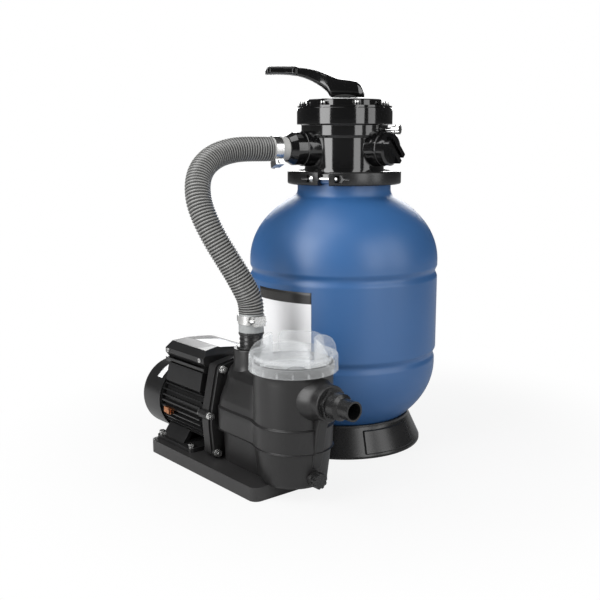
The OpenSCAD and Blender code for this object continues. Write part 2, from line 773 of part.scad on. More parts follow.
handle_low_z = cover_top_z + washer_t + 1.2;
hub_back = 30;
hub_front = 24.5;
grip_l = 49;
grip_step = 1.6;
lever_t = 12;
handle_outline = concat(
  [[-hub_back, handle_low_z], [hub_front, handle_low_z], [hub_front, handle_top_z - 41]],
  curve([hub_front, handle_top_z - 41], [50, handle_top_z - 22], [75, handle_top_z - 9],
    [lever_reach, handle_top_z - lever_t], 8),
  [[lever_reach - 2.5, handle_top_z - 2.5], [lever_reach - 6, handle_top_z],
    [lever_reach - grip_l, handle_top_z], [lever_reach - grip_l - 1, handle_top_z - grip_step]],
  curve([lever_reach - grip_l - 1, handle_top_z - grip_step], [50, handle_top_z - 3], [30, handle_top_z - 11],
    [11, handle_top_z - 19.5], 8),
  [[-20, handle_top_z - 22.5], [-hub_back + 2, handle_top_z - 33], [-hub_back, handle_top_z - 40]]);
// Slice of the handle's outline, drawn out to a width
module handle_slice(w, from, to) {
  rotate([90, 0, 0]) translate([0, 0, -w / 2]) linear_extrude(w) intersection() {
    polygon(handle_outline);
    translate([from, 0]) square([to - from, handle_top_z + 10]);
  }
}
module handle() {
  slot_half = 13;
  slot_top_z = handle_top_z - 23.5;
  color(gloss_black) rotate([0, 0, lever_deg]) difference() {
    union() {
      handle_slice(hub_w, -hub_back - cut, hub_front + 8);
      handle_slice(lever_w, hub_front, lever_reach + cut);
      handle_slice(grip_w, lever_reach - grip_l, lever_reach + cut);
    }
    translate([-slot_half, -stem_r - move_gap, 0]) cube([2 * slot_half, 2 * (stem_r + move_gap), slot_top_z]);
    translate([0, -hub_w, pin_z]) rotate([-90, 0, 0]) cylinder(r = pin_r + run_gap, h = 2 * hub_w);
  }
}
module handle_pin() {
  color(steel) rotate([0, 0, lever_deg]) translate([0, -hub_w / 2 + 0.5, pin_z]) rotate([-90, 0, 0])
    cylinder(r = pin_r, h = hub_w - 1);
}
module bleed_screw() {
  head_r = 7.4;
  head_l = 12;
  from = chamber_r + 2;
  head_from = valve_bowl_r + 14;
  color(steel) rotate([0, 0, bleed_deg]) translate([0, 0, bleed_z]) rotate([0, 90, 0]) {
    translate([0, 0, from]) cylinder(r = bleed_r, h = head_from - from + 1);
    translate([0, 0, head_from]) difference() {
      cylinder(r = head_r, h = head_l);
      around(10) translate([head_r + 0.9, 0, -cut]) cylinder(r = 1.9, h = head_l + 2 * cut);
      translate([0, 0, head_l / 2 - 1]) ring(head_r + 2, head_r - 1.4, 2);
    }
  }
}
module port_cap() {
  rim_l = 13;
  bar_t = 9;
  bar_w = 7;
  bar_l = 44;
  bar_gap = 6;
  color(gloss_black) at_port(cap_port_deg, port_reach + move_gap) difference() {
    union() {
      cylinder(r = port_r - 1, h = rim_l - 3);
      translate([0, 0, rim_l - 3.01]) cylinder(r1 = port_r - 1, r2 = port_r - 4, h = 3);
      translate([0, 0, -16]) ring(port_bore_r - move_gap, port_bore_r - 4, 16.5);
      intersection() {
        rotate([0, 0, 45]) for (s = [-1, 1])
          translate([-bar_l / 2, s * (bar_w + bar_gap) / 2 - bar_w / 2, rim_l - 4])
            cube([bar_l, bar_w, bar_t + 4]);
        cylinder(r = port_r - 3, h = rim_l + bar_t);
      }
    }
  }
}

// Adapters

spigot_r = hose_bore_r - 0.3;
spigot_l = 30;
adapter_l = 26;
hose_start = port_reach + adapter_l;
module pump_port_adapter() {
  nut_l = 16;
  color(gloss_black) at_port(pump_port_deg, port_reach + seat_gap) difference() {
    union() {
      cylinder(r = port_r - 1.5, h = nut_l);
      translate([0, 0, nut_l - 0.01])
        cylinder(r1 = port_r - 1.5, r2 = hose_r + 1, h = adapter_l - nut_l - 2 * seat_gap);
      cylinder(r = spigot_r, h = adapter_l + spigot_l);
      translate([0, 0, -14]) cylinder(r = port_bore_r - seat_gap, h = 15);
    }
    translate([0, 0, -20]) cylinder(r = spigot_r - spigot_wall, h = 120);
  }
}
return_r = 16;
return_step_r = 19;
return_l = 62;
module return_adapter() {
  nut_l = 15;
  step_l = 18;
  color(gloss_black) at_port(return_port_deg, port_reach + seat_gap) difference() {
    union() {
      cylinder(r = port_r - 1.5, h = nut_l);
      cylinder(r = return_step_r, h = nut_l + step_l);
      cylinder(r = return_r, h = return_l);
      translate([0, 0, -14]) cylinder(r = port_bore_r - seat_gap, h = 15);
    }
    translate([0, 0, -20]) cylinder(r = return_r - spigot_wall, h = 120);
  }
}

// Hose, from the valve's pump port to the pump's outlet

outlet_barb_l = 23;
hose_end_z = outlet_top_z + outlet_barb_l;
port_dir = [cos(pump_port_deg), sin(pump_port_deg), 0];
straight = 38;
// Bends between the ends, with heights in hundredths of the way up
hose_bends = [[-32, -172, 100], [-34, -194, 99.2], [-34, -216, 97.3], [-31, -235, 94.2], [-26, -251, 89.9],
  [-19, -263, 84.5], [-10, -271, 77.9], [0, -274, 70.2], [12, -271, 60.9], [23, -263, 51.2], [32, -252, 41.9],
  [39, -241, 33.3], [44, -231, 25.2], [46, -224, 19.4]];
hose_route = concat(
  [for (d = [0, straight / 2, straight]) port_dir * (hose_start + d) + [0, 0, port_z]],
  [for (p = hose_bends) [p[0], p[1], hose_end_z + p[2] * (port_z - hose_end_z) / 100]],
  [for (d = [straight - 4, straight / 2, 0]) [outlet_x, -pump_y, hose_end_z + d]]);
route_n = len(hose_route) - 1;
// Point of the route at a place counted in route points
function route_at(p, last) = let (i = min(floor(p), last - 1), t = p - i,
  a = hose_route[max(i - 1, 0)], b = hose_route[i], c = hose_route[i + 1], d = hose_route[min(i + 2, last)])
  b + 0.5 * t * (c - a + t * (2 * a - 5 * b + 4 * c - d + t * (3 * b - 3 * c + d - a)));
hose_sides = 8;
fine_n = 12 * route_n;
fine_route = [for (i = [0:fine_n]) route_at(i * route_n / fine_n, route_n)];
function sums(v, n) =
  [for (i = 0, s = 0; i <= n; s = s + (i < n ? norm(v[i + 1] - v[i]) : 0), i = i + 1) s];
fine_length = sums(fine_route, fine_n);
hose_length = fine_length[fine_n];
// Point of the route at a distance from its start
function route_point(d) = let (i = max([for (k = [0:fine_n - 1]) if (fine_length[k] <= d + 1e-6) k]),
  t = (d - fine_length[i]) / (fine_length[i + 1] - fine_length[i]))
  fine_route[i] + t * (fine_route[i + 1] - fine_route[i]);
function route_dir(d) = unit(route_point(min(d + 1.5, hose_length)) - route_point(max(d - 1.5, 0)));
// Ring of points about the route
hose_plane = [0.82, 0.1, 0.56];
function hose_ring(d, r) = let (c = route_point(d),
  k = d < 1 ? port_dir : d > hose_length - 1 ? [0, 0, -1] : route_dir(d),
  s = unit(cross(k, hose_plane)), n = cross(s, k), corner_r = r / cos(180 / hose_sides))
  [for (j = [0:hose_sides - 1]) let (a = 360 * (j + 0.5) / hose_sides)
    c + corner_r * (cos(a) * s + sin(a) * n)];
rib_pitch = (hose_length - 2 * cuff_l) / hose_ribs;
rib_stations = concat([[0, hose_valley_r], [cuff_l - 1, hose_valley_r]],
  [for (i = [0:hose_ribs - 1]) each [[cuff_l + (i + 0.25) * rib_pitch, hose_r],
    [cuff_l + (i + 0.75) * rib_pitch, hose_valley_r]]],
  [[hose_length - cuff_l + 1, hose_valley_r], [hose_length, hose_valley_r]]);
bore_steps = 40;
bore_stations = [for (i = [0:bore_steps]) hose_length * (1 - i / bore_steps)];
// The outside runs out and the bore runs back
module hose() {
  outside = [for (s = rib_stations) each hose_ring(s[0], s[1])];
  inside = [for (d = bore_stations) each hose_ring(d, hose_bore_r)];
  rings = len(rib_stations) + bore_steps + 1;
  m = hose_sides;
  color(hose_grey) polyhedron(points = concat(outside, inside),
    faces = [for (i = [0:rings - 1]) for (j = [0:m - 1])
      let (a = i * m + j, b = i * m + (j + 1) % m, up = ((i + 1) % rings) * m, d = up + j,
        c = up + (j + 1) % m)
        each [[a, c, b], [a, d, c]]]);
}
// Least gap between far stretches of the route
hose_gap = min([for (i = [0:4:fine_n]) for (j = [i + 60:4:fine_n]) norm(fine_route[i] - fine_route[j])])
  - 2 * hose_r;
echo(hose_length = hose_length, hose_gap = hose_gap);

// Frame of a hose clamp, vertical axis along the hose
module at_hose_clamps() {
  from = cuff_l - band_w - 2.8;
  at_port(pump_port_deg, hose_start + from) rotate([0, 0, 20]) children();
  translate([outlet_x, -pump_y, hose_end_z + from]) rotate([0, 0, -8]) children();
}
band_in_r = hose_valley_r / cos(180 / hose_sides) + 0.1;
worm_r = 3.2;
worm_x = band_in_r + band_t + worm_r + 0.2;
module hose_clamp_bands() {
  tail_l = 13;
  house_l = 18;
  house_t = band_t + 2 * worm_r + 1.4;
  color(steel) at_hose_clamps() difference() {
    union() {
      ring(band_in_r + band_t, band_in_r, band_w);
      translate([band_in_r, -house_l / 2, -cut]) cube([house_t, house_l, band_w + 2 * cut]);
      translate([-band_in_r - band_t, -tail_l, cut]) cube([band_t, tail_l, band_w - 2 * cut]);
    }
    translate([0, 0, -2 * cut]) cylinder(r = band_in_r, h = band_w + 4 * cut);
    translate([worm_x, -house_l, band_w / 2]) rotate([-90, 0, 0])
      cylinder(r = worm_r + seat_gap, h = 2 * house_l);
  }
}
module hose_clamp_screws() {
  color(steel) at_hose_clamps() translate([worm_x, -12, band_w / 2]) rotate([-90, 0, 0]) {
    cylinder(r = worm_r, h = 23);
    difference() {
      translate([0, 0, -4]) hex(8, 4.2);
      translate([-5, -0.6, -5]) cube([10, 1.2, 2.2]);
    }
  }
}

// Pump base and motor foot

base_rear_x = base_front_x - base_l;
foot_plate_t = 6;
foot_plate_x = [base_rear_x + 2, bracket_x - 22];
foot_plate_half_w = base_w / 2 - 11;
foot_bolt_xs = [foot_plate_x[0] + 4.6, foot_plate_x[1] - 9];
foot_bolt_y = foot_plate_half_w - 8;
foot_bolt_r = 3;
barrel_rear_x = base_rear_x + barrel_inset;
fan_cover_rear_x = barrel_rear_x - fan_cover_l;
box_rear_x = barrel_rear_x + box_inset;
box_front_x = bracket_x - box_gap;
// Rounded plate about the pump's centre plane
module rounded_plate(l, w, r, h) {
  linear_extrude(h) union() {
    translate([r, -w / 2]) square([l - 2 * r, w]);
    translate([0, -w / 2 + r]) square([l, w - 2 * r]);
    for (x = [r, l - r]) for (y = [-w / 2 + r, w / 2 - r]) translate([x, y]) circle(r = r);
  }
}
module pump_base() {
  rib_count = 5;
  rib_t = 4;
  rib_drop = 2;
  color(charcoal) at_pump(base_rear_x) difference() {
    union() {
      difference() {
        rounded_plate(base_l, base_w, base_corner_r, base_h);
        translate([base_wall, 0, -cut]) rounded_plate(base_l - 2 * base_wall, base_w - 2 * base_wall,
          base_corner_r - base_wall, base_h - base_wall + cut);
      }
      for (i = [1:rib_count]) translate([i * base_l / (rib_count + 1) - rib_t / 2, -base_w / 2 + rib_drop, 0])
        cube([rib_t, base_w - 2 * rib_drop, base_h - rib_drop]);
      for (s = [-1, 1]) translate([rib_drop, s * base_w / 6 - rib_t / 2, 0])
        cube([base_l - 2 * rib_drop, rib_t, base_h - rib_drop]);
    }
    for (x = foot_bolt_xs) for (s = [-1, 1]) translate([x - base_rear_x, s * foot_bolt_y, -cut])
      cylinder(r = foot_bolt_r + seat_gap, h = base_h + 2 * cut);
  }
}
module motor_foot() {
  saddle_x = [foot_plate_x[0] + 10, foot_plate_x[1] - 30];
  saddle_l = saddle_x[1] - saddle_x[0];
  saddle_half = 36;
  saddle_low_half = 52;
  saddle_drop = 32;
  saddle_in = 20;
  saddle_wall = 12;
  plate_top_z = base_h + foot_plate_t;
  saddle = both_sides([[saddle_low_half, plate_top_z - 0.5], [saddle_half, motor_z - saddle_drop],
    [saddle_half, motor_z - saddle_in]]);
  color(satin_black) difference() {
    union() {
      at_pump(foot_plate_x[0], base_h + seat_gap)
        rounded_plate(foot_plate_x[1] - foot_plate_x[0], 2 * foot_plate_half_w, foot_plate_t, foot_plate_t);
      across_pump(saddle_x[0], saddle_l) polygon(saddle);
    }
    along_pump(fan_cover_rear_x, motor_z) cylinder(r = fin_r + seat_gap, h = base_l);
    along_pump(fan_cover_rear_x, motor_z)
      cylinder(r = fan_cover_r + move_gap, h = saddle_x[0] - fan_cover_rear_x - 0.5);
    across_pump(saddle_x[0] - cut, saddle_l + 2 * cut)
      polygon(both_sides([[saddle_low_half - saddle_wall, plate_top_z + saddle_wall / 4],
        [saddle_half - saddle_wall, motor_z - saddle_in]]));
    for (x = foot_bolt_xs) for (s = [-1, 1]) at_pump(x) translate([0, s * foot_bolt_y, 0])
      cylinder(r = foot_bolt_r + seat_gap, h = plate_top_z + 2 * cut);
  }
}
module foot_bolts() {
  bolt_from = 6;
  washer_r = 5;
  head_flats = 8.4;
  head_t = 4;
  color(steel) for (x = foot_bolt_xs) for (s = [-1, 1]) at_pump(x) translate([0, s * foot_bolt_y, 0]) {
    translate([0, 0, bolt_from]) cylinder(r = foot_bolt_r, h = base_h + foot_plate_t - bolt_from + cut);
    translate([0, 0, base_h + foot_plate_t + 2 * seat_gap]) {
      cylinder(r = washer_r, h = 1.2);
      translate([0, 0, 1.1]) hex(head_flats, head_t);
    }
  }
}

// Motor

barrel_front_x = bracket_x - seat_gap;
endshield_t = 8;
bearing_r = 15;
bearing_t = 10;
rear_bearing_x = barrel_rear_x + 3;
front_bearing_x = bracket_x - bearing_t + 6;
stator_rear = 29;
stator_front = 20;
stator_x = [barrel_rear_x + stator_rear, bracket_x - stator_front];
core_inset = 4;
core_x = [stator_x[0] + core_inset, stator_x[1] - core_inset];
air_gap = 0.5;
pad_step_h = 36;
pad_low_h = 20;
pad_low_in = 12;
pad = both_sides([[box_half_w - 2, pad_z], [box_half_w + 4, motor_z + pad_step_h],
  [box_half_w - pad_low_in, motor_z + pad_low_h]]);
wire_hole_r = 8;
wire_hole_in = 50;
wire_hole_x = box_rear_x + wire_hole_in;
cover_post_r = 4;
cover_post_pcr = barrel_r - 6;
cover_post_degs = [60, 180, 300];
fan_screw_r = 1.5;
module motor_housing() {
  bolt_head_room = 6;
  pad_inset = 6;
  skip_deg = 36;
  foot_skip_deg = 40;
  color(gloss_black) difference() {
    union() {
      along_pump(barrel_rear_x, motor_z) cylinder(r = barrel_r, h = barrel_front_x - barrel_rear_x);
      along_pump(barrel_rear_x, motor_z) cylinder(r = fan_cover_r - fan_cover_wall - 1, h = 3);
      for (a = [skip_deg:fin_pitch_deg:360 - skip_deg]) if (abs(a - 180) > foot_skip_deg)
        translate([barrel_rear_x + 3, -pump_y, motor_z]) rotate([a, 0, 0])
          translate([0, -fin_t / 2, barrel_r - 3])
            cube([barrel_front_x - barrel_rear_x - 3 - bolt_head_room, fin_t, fin_r - barrel_r + 3]);
      across_pump(box_rear_x + pad_inset, box_front_x - box_rear_x - 2 * pad_inset) polygon(pad);
    }
    along_pump(barrel_rear_x + endshield_t, motor_z) cylinder(r = barrel_bore_r, h = base_l);
    along_pump(barrel_rear_x - cut, motor_z) cylinder(r = shaft_r + 1.5, h = 2 * endshield_t);
    along_pump(rear_bearing_x, motor_z) cylinder(r = bearing_r + seat_gap, h = 2 * endshield_t);
    at_pump(wire_hole_x, motor_z + barrel_bore_r - wire_hole_r) cylinder(r = wire_hole_r, h = pad_z);
    for (a = cover_post_degs) along_pump(barrel_rear_x - cut, motor_z) rotate([0, 0, a])
      translate([cover_post_pcr, 0, 0]) cylinder(r = fan_screw_r + seat_gap, h = endshield_t - 1 + cut);
  }
}
module fan_cover() {
  round_r = 7;
  front_x = barrel_rear_x + 2;
  l = front_x - fan_cover_rear_x;
  w = fan_cover_wall;
  slot_count = 24;
  slot_from = 14;
  slot_l = 20;
  slot_w = 2.8;
  color(satin_black) difference() {
    along_pump(fan_cover_rear_x, motor_z) union() {
      rotate_extrude() polygon(concat([[0, 0]],
        [for (a = [-90:15:0]) [fan_cover_r - round_r + round_r * cos(a), round_r + round_r * sin(a)]],
        [[fan_cover_r, l], [fan_cover_r - w, l], [fan_cover_r - w, round_r]],
        [for (a = [-15:-15:-90])
          [fan_cover_r - round_r + (round_r - w) * cos(a), round_r + (round_r - w) * sin(a)]],
        [[0, w]]));
      for (a = cover_post_degs) rotate([0, 0, a]) translate([cover_post_pcr, 0, w / 2])
        cylinder(r = cover_post_r, h = fan_cover_l - w / 2 - 2 * seat_gap);
    }
    along_pump(fan_cover_rear_x - cut, motor_z) around(slot_count) translate([slot_from, -slot_w / 2, 0])
      cube([slot_l, slot_w, w + 2 * cut]);
    for (a = cover_post_degs) along_pump(fan_cover_rear_x - cut, motor_z) rotate([0, 0, a])
      translate([cover_post_pcr, 0, 0]) cylinder(r = fan_screw_r + seat_gap, h = fan_cover_l + 2 * cut);
  }
}
module fan_cover_screws() {
  head_r = 3.4;
  head_t = 2.2;
  slot_w = 0.8;
  color(steel) for (a = cover_post_degs) along_pump(fan_cover_rear_x, motor_z) rotate([0, 0, a])
    translate([cover_post_pcr, 0, 0]) {
      translate([0, 0, -head_t / 2]) cylinder(r = fan_screw_r, h = fan_cover_l + endshield_t - 2);
      difference() {
        translate([0, 0, -head_t - seat_gap]) cylinder(r = head_r, h = head_t);
        translate([0, 0, -head_t - seat_gap]) cube([3 * head_r, slot_w, 2 * slot_w], center = true);
      }
    }
}
module cooling_fan() {
  fan_l = 24;
  fan_room = 25;
  fan_r = fan_cover_r - fan_room;
  hub_r = 13;
  disc_t = 3;
  blade_count = 7;
  blade_t = 2;
  color(satin_black) along_pump(fan_x, motor_z) difference() {
    union() {
      cylinder(r = hub_r, h = fan_l);
      translate([0, 0, fan_l - disc_t]) cylinder(r = fan_r, h = disc_t);
      around(blade_count) translate([hub_r - disc_t, -blade_t / 2, blade_t])
        cube([fan_r - hub_r + disc_t, blade_t, fan_l - disc_t]);
    }
    translate([0, 0, -cut]) cylinder(r = shaft_r + seat_gap, h = fan_l + 2 * cut);
  }
}
fan_x = fan_cover_rear_x + 12;
impeller_x = bracket_x + bracket_t + 8;
impeller_t = 16;
module motor_shaft() {
  color(steel) along_pump(fan_x, motor_z) cylinder(r = shaft_r, h = impeller_x + impeller_t - 2 - fan_x);
}
module rotor_core() {
  color("slategray") along_pump(core_x[0], motor_z) ring(core_r, shaft_r + seat_gap, core_x[1] - core_x[0]);
}
module stator() {
  slot_count = 18;
  slot_w = 3;
  color("slategray") along_pump(stator_x[0], motor_z) difference() {
    cylinder(r = barrel_bore_r - seat_gap, h = stator_x[1] - stator_x[0]);
    translate([0, 0, -cut]) cylinder(r = core_r + air_gap, h = base_l);
    around(slot_count) translate([core_r + slot_w, -slot_w / 2, -cut]) cube([3 * slot_w, slot_w, base_l]);
  }
}
module bearings() {
  color(steel) for (x = [rear_bearing_x, front_bearing_x])
    along_pump(x + 0.2, motor_z) ring(bearing_r, shaft_r + run_gap, bearing_t - 0.4);
}

// Terminal box

box_mid_z = pad_z + 8;
// Hipped solid between two heights, grown all round
module box_form(grow, low, high) {
  foot_in = 6;
  foot_up = 8;
  hip_h = 14;
  eave_in = 8;
  eave_h = 3;
  roof_in = 31;
  front_h = 10;
  far_h = 6;
  side = box_half_w + grow;
  rear = box_rear_x - grow;
  front = box_front_x + grow;
  roof = box_top_z + grow;
  up = min(foot_up, (high - low) / 2);
  intersection() {
    across_pump(rear, front - rear) polygon([[side - foot_in, low], [side, low + up],
      [side, roof - far_h], [roof_in - side, roof], [eave_in - side, roof - eave_h],
      [-side, box_top_z - hip_h], [-side, low + up], [foot_in - side, low]]);
    translate([0, -pump_y + base_w, 0]) rotate([90, 0, 0]) linear_extrude(2 * base_w) polygon([[rear, low],
      [rear, box_top_z - hip_h], [rear + eave_in, roof - eave_h], [rear + hip_h, roof],
      [front - eave_in, roof], [front, box_top_z - front_h], [front, low]]);
    translate([rear - cut, -pump_y - base_w, low]) cube([front - rear + 2 * cut, 2 * base_w, high - low]);
  }
}
box_screw_xs = [box_rear_x + 9, box_front_x - 9];
box_screw_z = box_mid_z + 12;
box_screw_r = 1.6;
gland_in = 42;
gland_x = box_front_x - gland_in;
gland_stem_r = 6;
// Hole for the cable gland, through box and cover
module gland_hole() {
  at_pump(gland_x, box_mid_z) translate([0, box_half_w - 2 * gland_stem_r, 0]) rotate([-90, 0, 0])
    cylinder(r = gland_stem_r, h = 3 * gland_stem_r);
}
module terminal_box() {
  post_w = 10;
  post_l = 12;
  color(satin_black) difference() {
    box_form(0, pad_z + seat_gap, box_mid_z);
    difference() {
      box_form(-box_wall, pad_z + 2, box_mid_z + cut);
      for (x = box_screw_xs) for (s = [-1, 1])
        translate([x - post_w / 2, -pump_y + s * (box_half_w - 8) - post_l / 2, pad_z])
          cube([post_w, post_l, box_mid_z - pad_z + post_l]);
    }
    at_pump(wire_hole_x, pad_z - cut) cylinder(r = wire_hole_r, h = box_mid_z - pad_z + 2 * cut);
    gland_hole();
  }
}
module terminal_cover() {
  color(satin_black) difference() {
    box_form(0, box_mid_z + seat_gap, box_top_z + cut);
    box_form(-box_wall, box_mid_z - cut, box_top_z + cut);
    for (x = box_screw_xs) translate([x, -pump_y - box_half_w - 10, box_screw_z]) rotate([-90, 0, 0])
      cylinder(r = box_screw_r + seat_gap, h = 2 * box_half_w + 20);
    gland_hole();
  }
}
module terminal_screws() {
  stem_l = 7;
  head_r = 3.4;
  head_t = 2;
  slot_w = 0.8;
  color(steel) for (x = box_screw_xs) for (a = [0, 180]) at_pump(x, box_screw_z) rotate([0, 0, a])
    translate([0, box_half_w, 0]) rotate([-90, 0, 0]) difference() {
      union() {
        translate([0, 0, -stem_l]) cylinder(r = box_screw_r, h = stem_l + cut);
        translate([0, 0, seat_gap]) cylinder(r = head_r, h = head_t);
      }
      translate([0, 0, head_t + seat_gap]) cube([3 * head_r, slot_w, 2 * slot_w], center = true);
    }
}
module capacitor() {
  can_r = 14;
  can_rise = 4;
  can_from = 30;
  can_l = box_front_x - box_rear_x - can_from - 16;
  color("lightgray") along_pump(box_rear_x + can_from, pad_z + can_r + can_rise)
    translate([0, 22 - box_half_w, 0]) cylinder(r = can_r, h = can_l);
}
module cable_gland() {
  nut_flats = 18;
  nut_t = 6;
  stem_l = 10;
  nose_l = 9;
  bore_r = 3.6;
  color(gloss_black) at_pump(gland_x, box_mid_z) translate([0, box_half_w + seat_gap, 0]) rotate([-90, 0, 0])
    difference() {
      union() {
        hex(nut_flats, nut_t);
        translate([0, 0, -stem_l]) cylinder(r = gland_stem_r - seat_gap, h = stem_l + cut);
        translate([0, 0, nut_t - 0.1])
          cylinder(r1 = nut_flats / 2 - 0.5, r2 = nut_flats / 2 - 2.5, h = nose_l);
      }
      translate([0, 0, -stem_l - cut]) cylinder(r = bore_r, h = stem_l + nut_t + nose_l + 2 * cut);
    }
}
module bonding_lug() {
  lug_x = barrel_rear_x + 20;
  lug_z = motor_z - 11.9;
  color("#b5652e") at_pump(lug_x, lug_z) translate([0, -fin_r - 6.2, 0]) difference() {
    union() {
      cube([20, 6, 9]);
      translate([2, 0, 0]) cube([7, 10, 4.8]);
      translate([13, -3, 1]) cube([6, 9, 7]);
    }
    translate([5, 3, -cut]) cylinder(r = 1.8, h = 12);
    translate([10, 3, 4.5]) rotate([0, 90, 0]) cylinder(r = 1.8, h = 12);
  }
}

// Motor bracket and its bolts

bracket_front_x = bracket_x + bracket_t;
bracket_half = [[0, base_h + 1], [40, base_h + 1], [46, base_h + 8], [bracket_half_w, motor_z - 10],
  [bracket_half_w, motor_z + 12], [36, bracket_top_z - 9], [33, bracket_top_z - 6], [0, bracket_top_z]];
bolt_places = [[27, bracket_top_z - 13], [bracket_half_w + 1.5, motor_z + 8], [39, base_h + 9]];
lug_r = 6.5;
bracket_bolt_room = 0.2;
module bracket_outline(shrink = 0) {
  polygon(concat([for (p = bracket_half) [max(p[0] - shrink, 0), p[1] + (p[1] > motor_z ? -shrink : shrink)]],
    [for (i = [len(bracket_half) - 2:-1:1]) let (p = bracket_half[i])
      [-max(p[0] - shrink, 0), p[1] + (p[1] > motor_z ? -shrink : shrink)]]));
}
// Copies at the six bolts of the bracket
module at_bracket_bolts() {
  for (p = bolt_places) for (s = [-1, 1]) translate([0, -pump_y + s * p[0], p[1]])
    rotate([0, 90, 0]) children();
}
module motor_bracket() {
  web_t = 6;
  color(charcoal) difference() {
    union() {
      across_pump(bracket_x, bracket_t) difference() {
        bracket_outline();
        bracket_outline(5);
      }
      across_pump(bracket_x + 5, web_t) bracket_outline(1);
      at_bracket_bolts() translate([0, 0, bracket_x]) cylinder(r = lug_r, h = bracket_t);
      along_pump(bracket_x, motor_z) cylinder(r = bearing_r + 6, h = bracket_t);
    }
    along_pump(front_bearing_x, motor_z) cylinder(r = bearing_r + seat_gap, h = bearing_t);
    along_pump(bracket_x - cut, motor_z) cylinder(r = shaft_r + 1, h = bracket_t + 2 * cut);
    at_bracket_bolts() translate([0, 0, bracket_x - cut])
      cylinder(r = bracket_bolt_r + bracket_bolt_room, h = bracket_t + 2 * cut);
    at_pump(bracket_x - cut) translate([0, -base_w, 0]) cube([bracket_t + 2 * cut, 2 * base_w, base_h + 0.5]);
    along_pump(bracket_front_x - 5, motor_z) cylinder(r = seal_r + seat_gap, h = 10);
  }
}
housing_flange_t = 5;
module bracket_bolts() {
  color(steel) at_bracket_bolts() {
    translate([0, 0, bracket_x - 1]) cylinder(r = bracket_bolt_r, h = bracket_t + housing_flange_t + 8);
    translate([0, 0, bracket_x - 4 - seat_gap]) rotate([0, 0, 30]) hex(10, 4);
  }
}
module bracket_nuts() {
  nut_x = bracket_front_x + housing_flange_t + 3 * seat_gap;
  color(steel) at_bracket_bolts() translate([0, 0, nut_x]) difference() {
    union() {
      cylinder(r = 6, h = 1.2);
      translate([0, 0, 1.1]) hex(10, 4.5);
    }
    translate([0, 0, -cut]) cylinder(r = bracket_bolt_r + seat_gap, h = 10);
  }
}

// Wet end

pot_low_r = pot_r - 8;
pot_floor_z = base_h + 10;
pot_bore_r = pot_r - pot_wall;
pot_top_z = lid_rim_z - 12;
thread_r = pot_r + 1.3;
housing_x = bracket_front_x + 2 * seat_gap;
band_half_w = bracket_half_w - 2;
volute_r = impeller_r + 3;
volute_x = [housing_x - cut, 52];
eye_r = 13;
seal_r = 11;
outlet_bore_r = 19;
inlet_bore_r = 16.5;
rib_half_w = 8;
drain_plug_y = -4;
drain_plug_z = base_h + 14;
drain_plug_r = 7;
drain_face_x = pot_x + pot_low_r + 5;
upper_half = [[band_half_w - 4, seam_high_z - 6], [band_half_w - 6, seam_high_z + 12],
  [34, bracket_top_z - 14], [28, bracket_top_z - 7], [14, bracket_top_z - 3]];
band_half = [[band_half_w, seam_low_z], [band_half_w - 1, seam_high_z]];
lower_half = [[34, base_h + 0.6], [36, seam_low_z + 4]];
module pump_housing() {
  upper_end = pot_x - 20;
  color(charcoal) difference() {
    union() {
      across_pump(housing_x, housing_flange_t) bracket_outline(2);
      at_bracket_bolts() translate([0, 0, housing_x]) cylinder(r = lug_r, h = housing_flange_t - 0.5);
      across_pump(housing_x, upper_end - housing_x) polygon(both_sides(upper_half));
      across_pump(housing_x, upper_end - housing_x) polygon(both_sides(band_half));
      across_pump(housing_x, upper_end - housing_x) polygon(both_sides(lower_half));
      at_pump(pot_x) rotate_extrude() polygon([[0, base_h + seat_gap], [pot_low_r, base_h + seat_gap],
        [pot_r - 3, seam_low_z], [pot_r + 0.6, seam_low_z], [pot_r + 0.6, seam_high_z],
        [pot_r - 1, seam_high_z], [pot_r, lid_low_z - 5], [thread_r, lid_low_z - 1], [thread_r, pot_top_z],
        [0, pot_top_z]]);
      at_pump(outlet_x, bracket_top_z - 34) cylinder(r = outlet_r, h = outlet_top_z - bracket_top_z + 34);
      along_pump(pot_x, inlet_z) cylinder(r = inlet_r + 4, h = pot_r + 4);
      along_pump(pot_x, inlet_z) cylinder(r = inlet_r, h = inlet_face_x - pot_x);
      translate([0, -pump_y + rib_half_w, 0]) rotate([90, 0, 0]) linear_extrude(2 * rib_half_w) polygon([
        [pot_x + pot_low_r - 8, drain_plug_z + 13], [pot_x + pot_low_r + 3, drain_plug_z + 13],
        [inlet_face_x - 13, inlet_z - inlet_r + 4], [pot_x + pot_r - 8, inlet_z - inlet_r + 4]]);
      along_pump(pot_x + pot_low_r - 8, drain_plug_z) translate([0, drain_plug_y, 0])
        cylinder(r = drain_plug_r + 3, h = drain_face_x - pot_x - pot_low_r + 8);
    }
    at_pump(pot_x, pot_floor_z) cylinder(r = pot_low_r - pot_wall, h = 200);
    at_pump(pot_x, basket_rest_z) cylinder(r = pot_bore_r, h = 200);
    along_pump(volute_x[0], motor_z) cylinder(r = volute_r, h = volute_x[1] - volute_x[0]);
    along_pump(volute_x[1] - cut, motor_z) cylinder(r = eye_r, h = pot_x - pot_low_r + 10 - volute_x[1]);
    at_pump(outlet_x, motor_z + 10) cylinder(r = outlet_bore_r - 3, h = 200);
    at_pump(outlet_x, outlet_top_z - 22) cylinder(r = outlet_bore_r, h = 40);
    along_pump(pot_x + 30, inlet_z) cylinder(r = inlet_bore_r, h = 200);
    along_pump(pot_x + 30, drain_plug_z) translate([0, drain_plug_y, 0]) cylinder(r = drain_plug_r, h = 100);
    at_bracket_bolts() translate([0, 0, housing_x - cut])
      cylinder(r = bracket_bolt_r + bracket_bolt_room, h = housing_flange_t + 2 * cut);
    at_bracket_bolts() translate([0, 0, housing_x + housing_flange_t]) cylinder(r = lug_r + 1, h = 14);
    at_pump(pot_x, pot_top_z) seal_groove(lid_seal_r, lid_seal_wire + 0.1);
  }
}
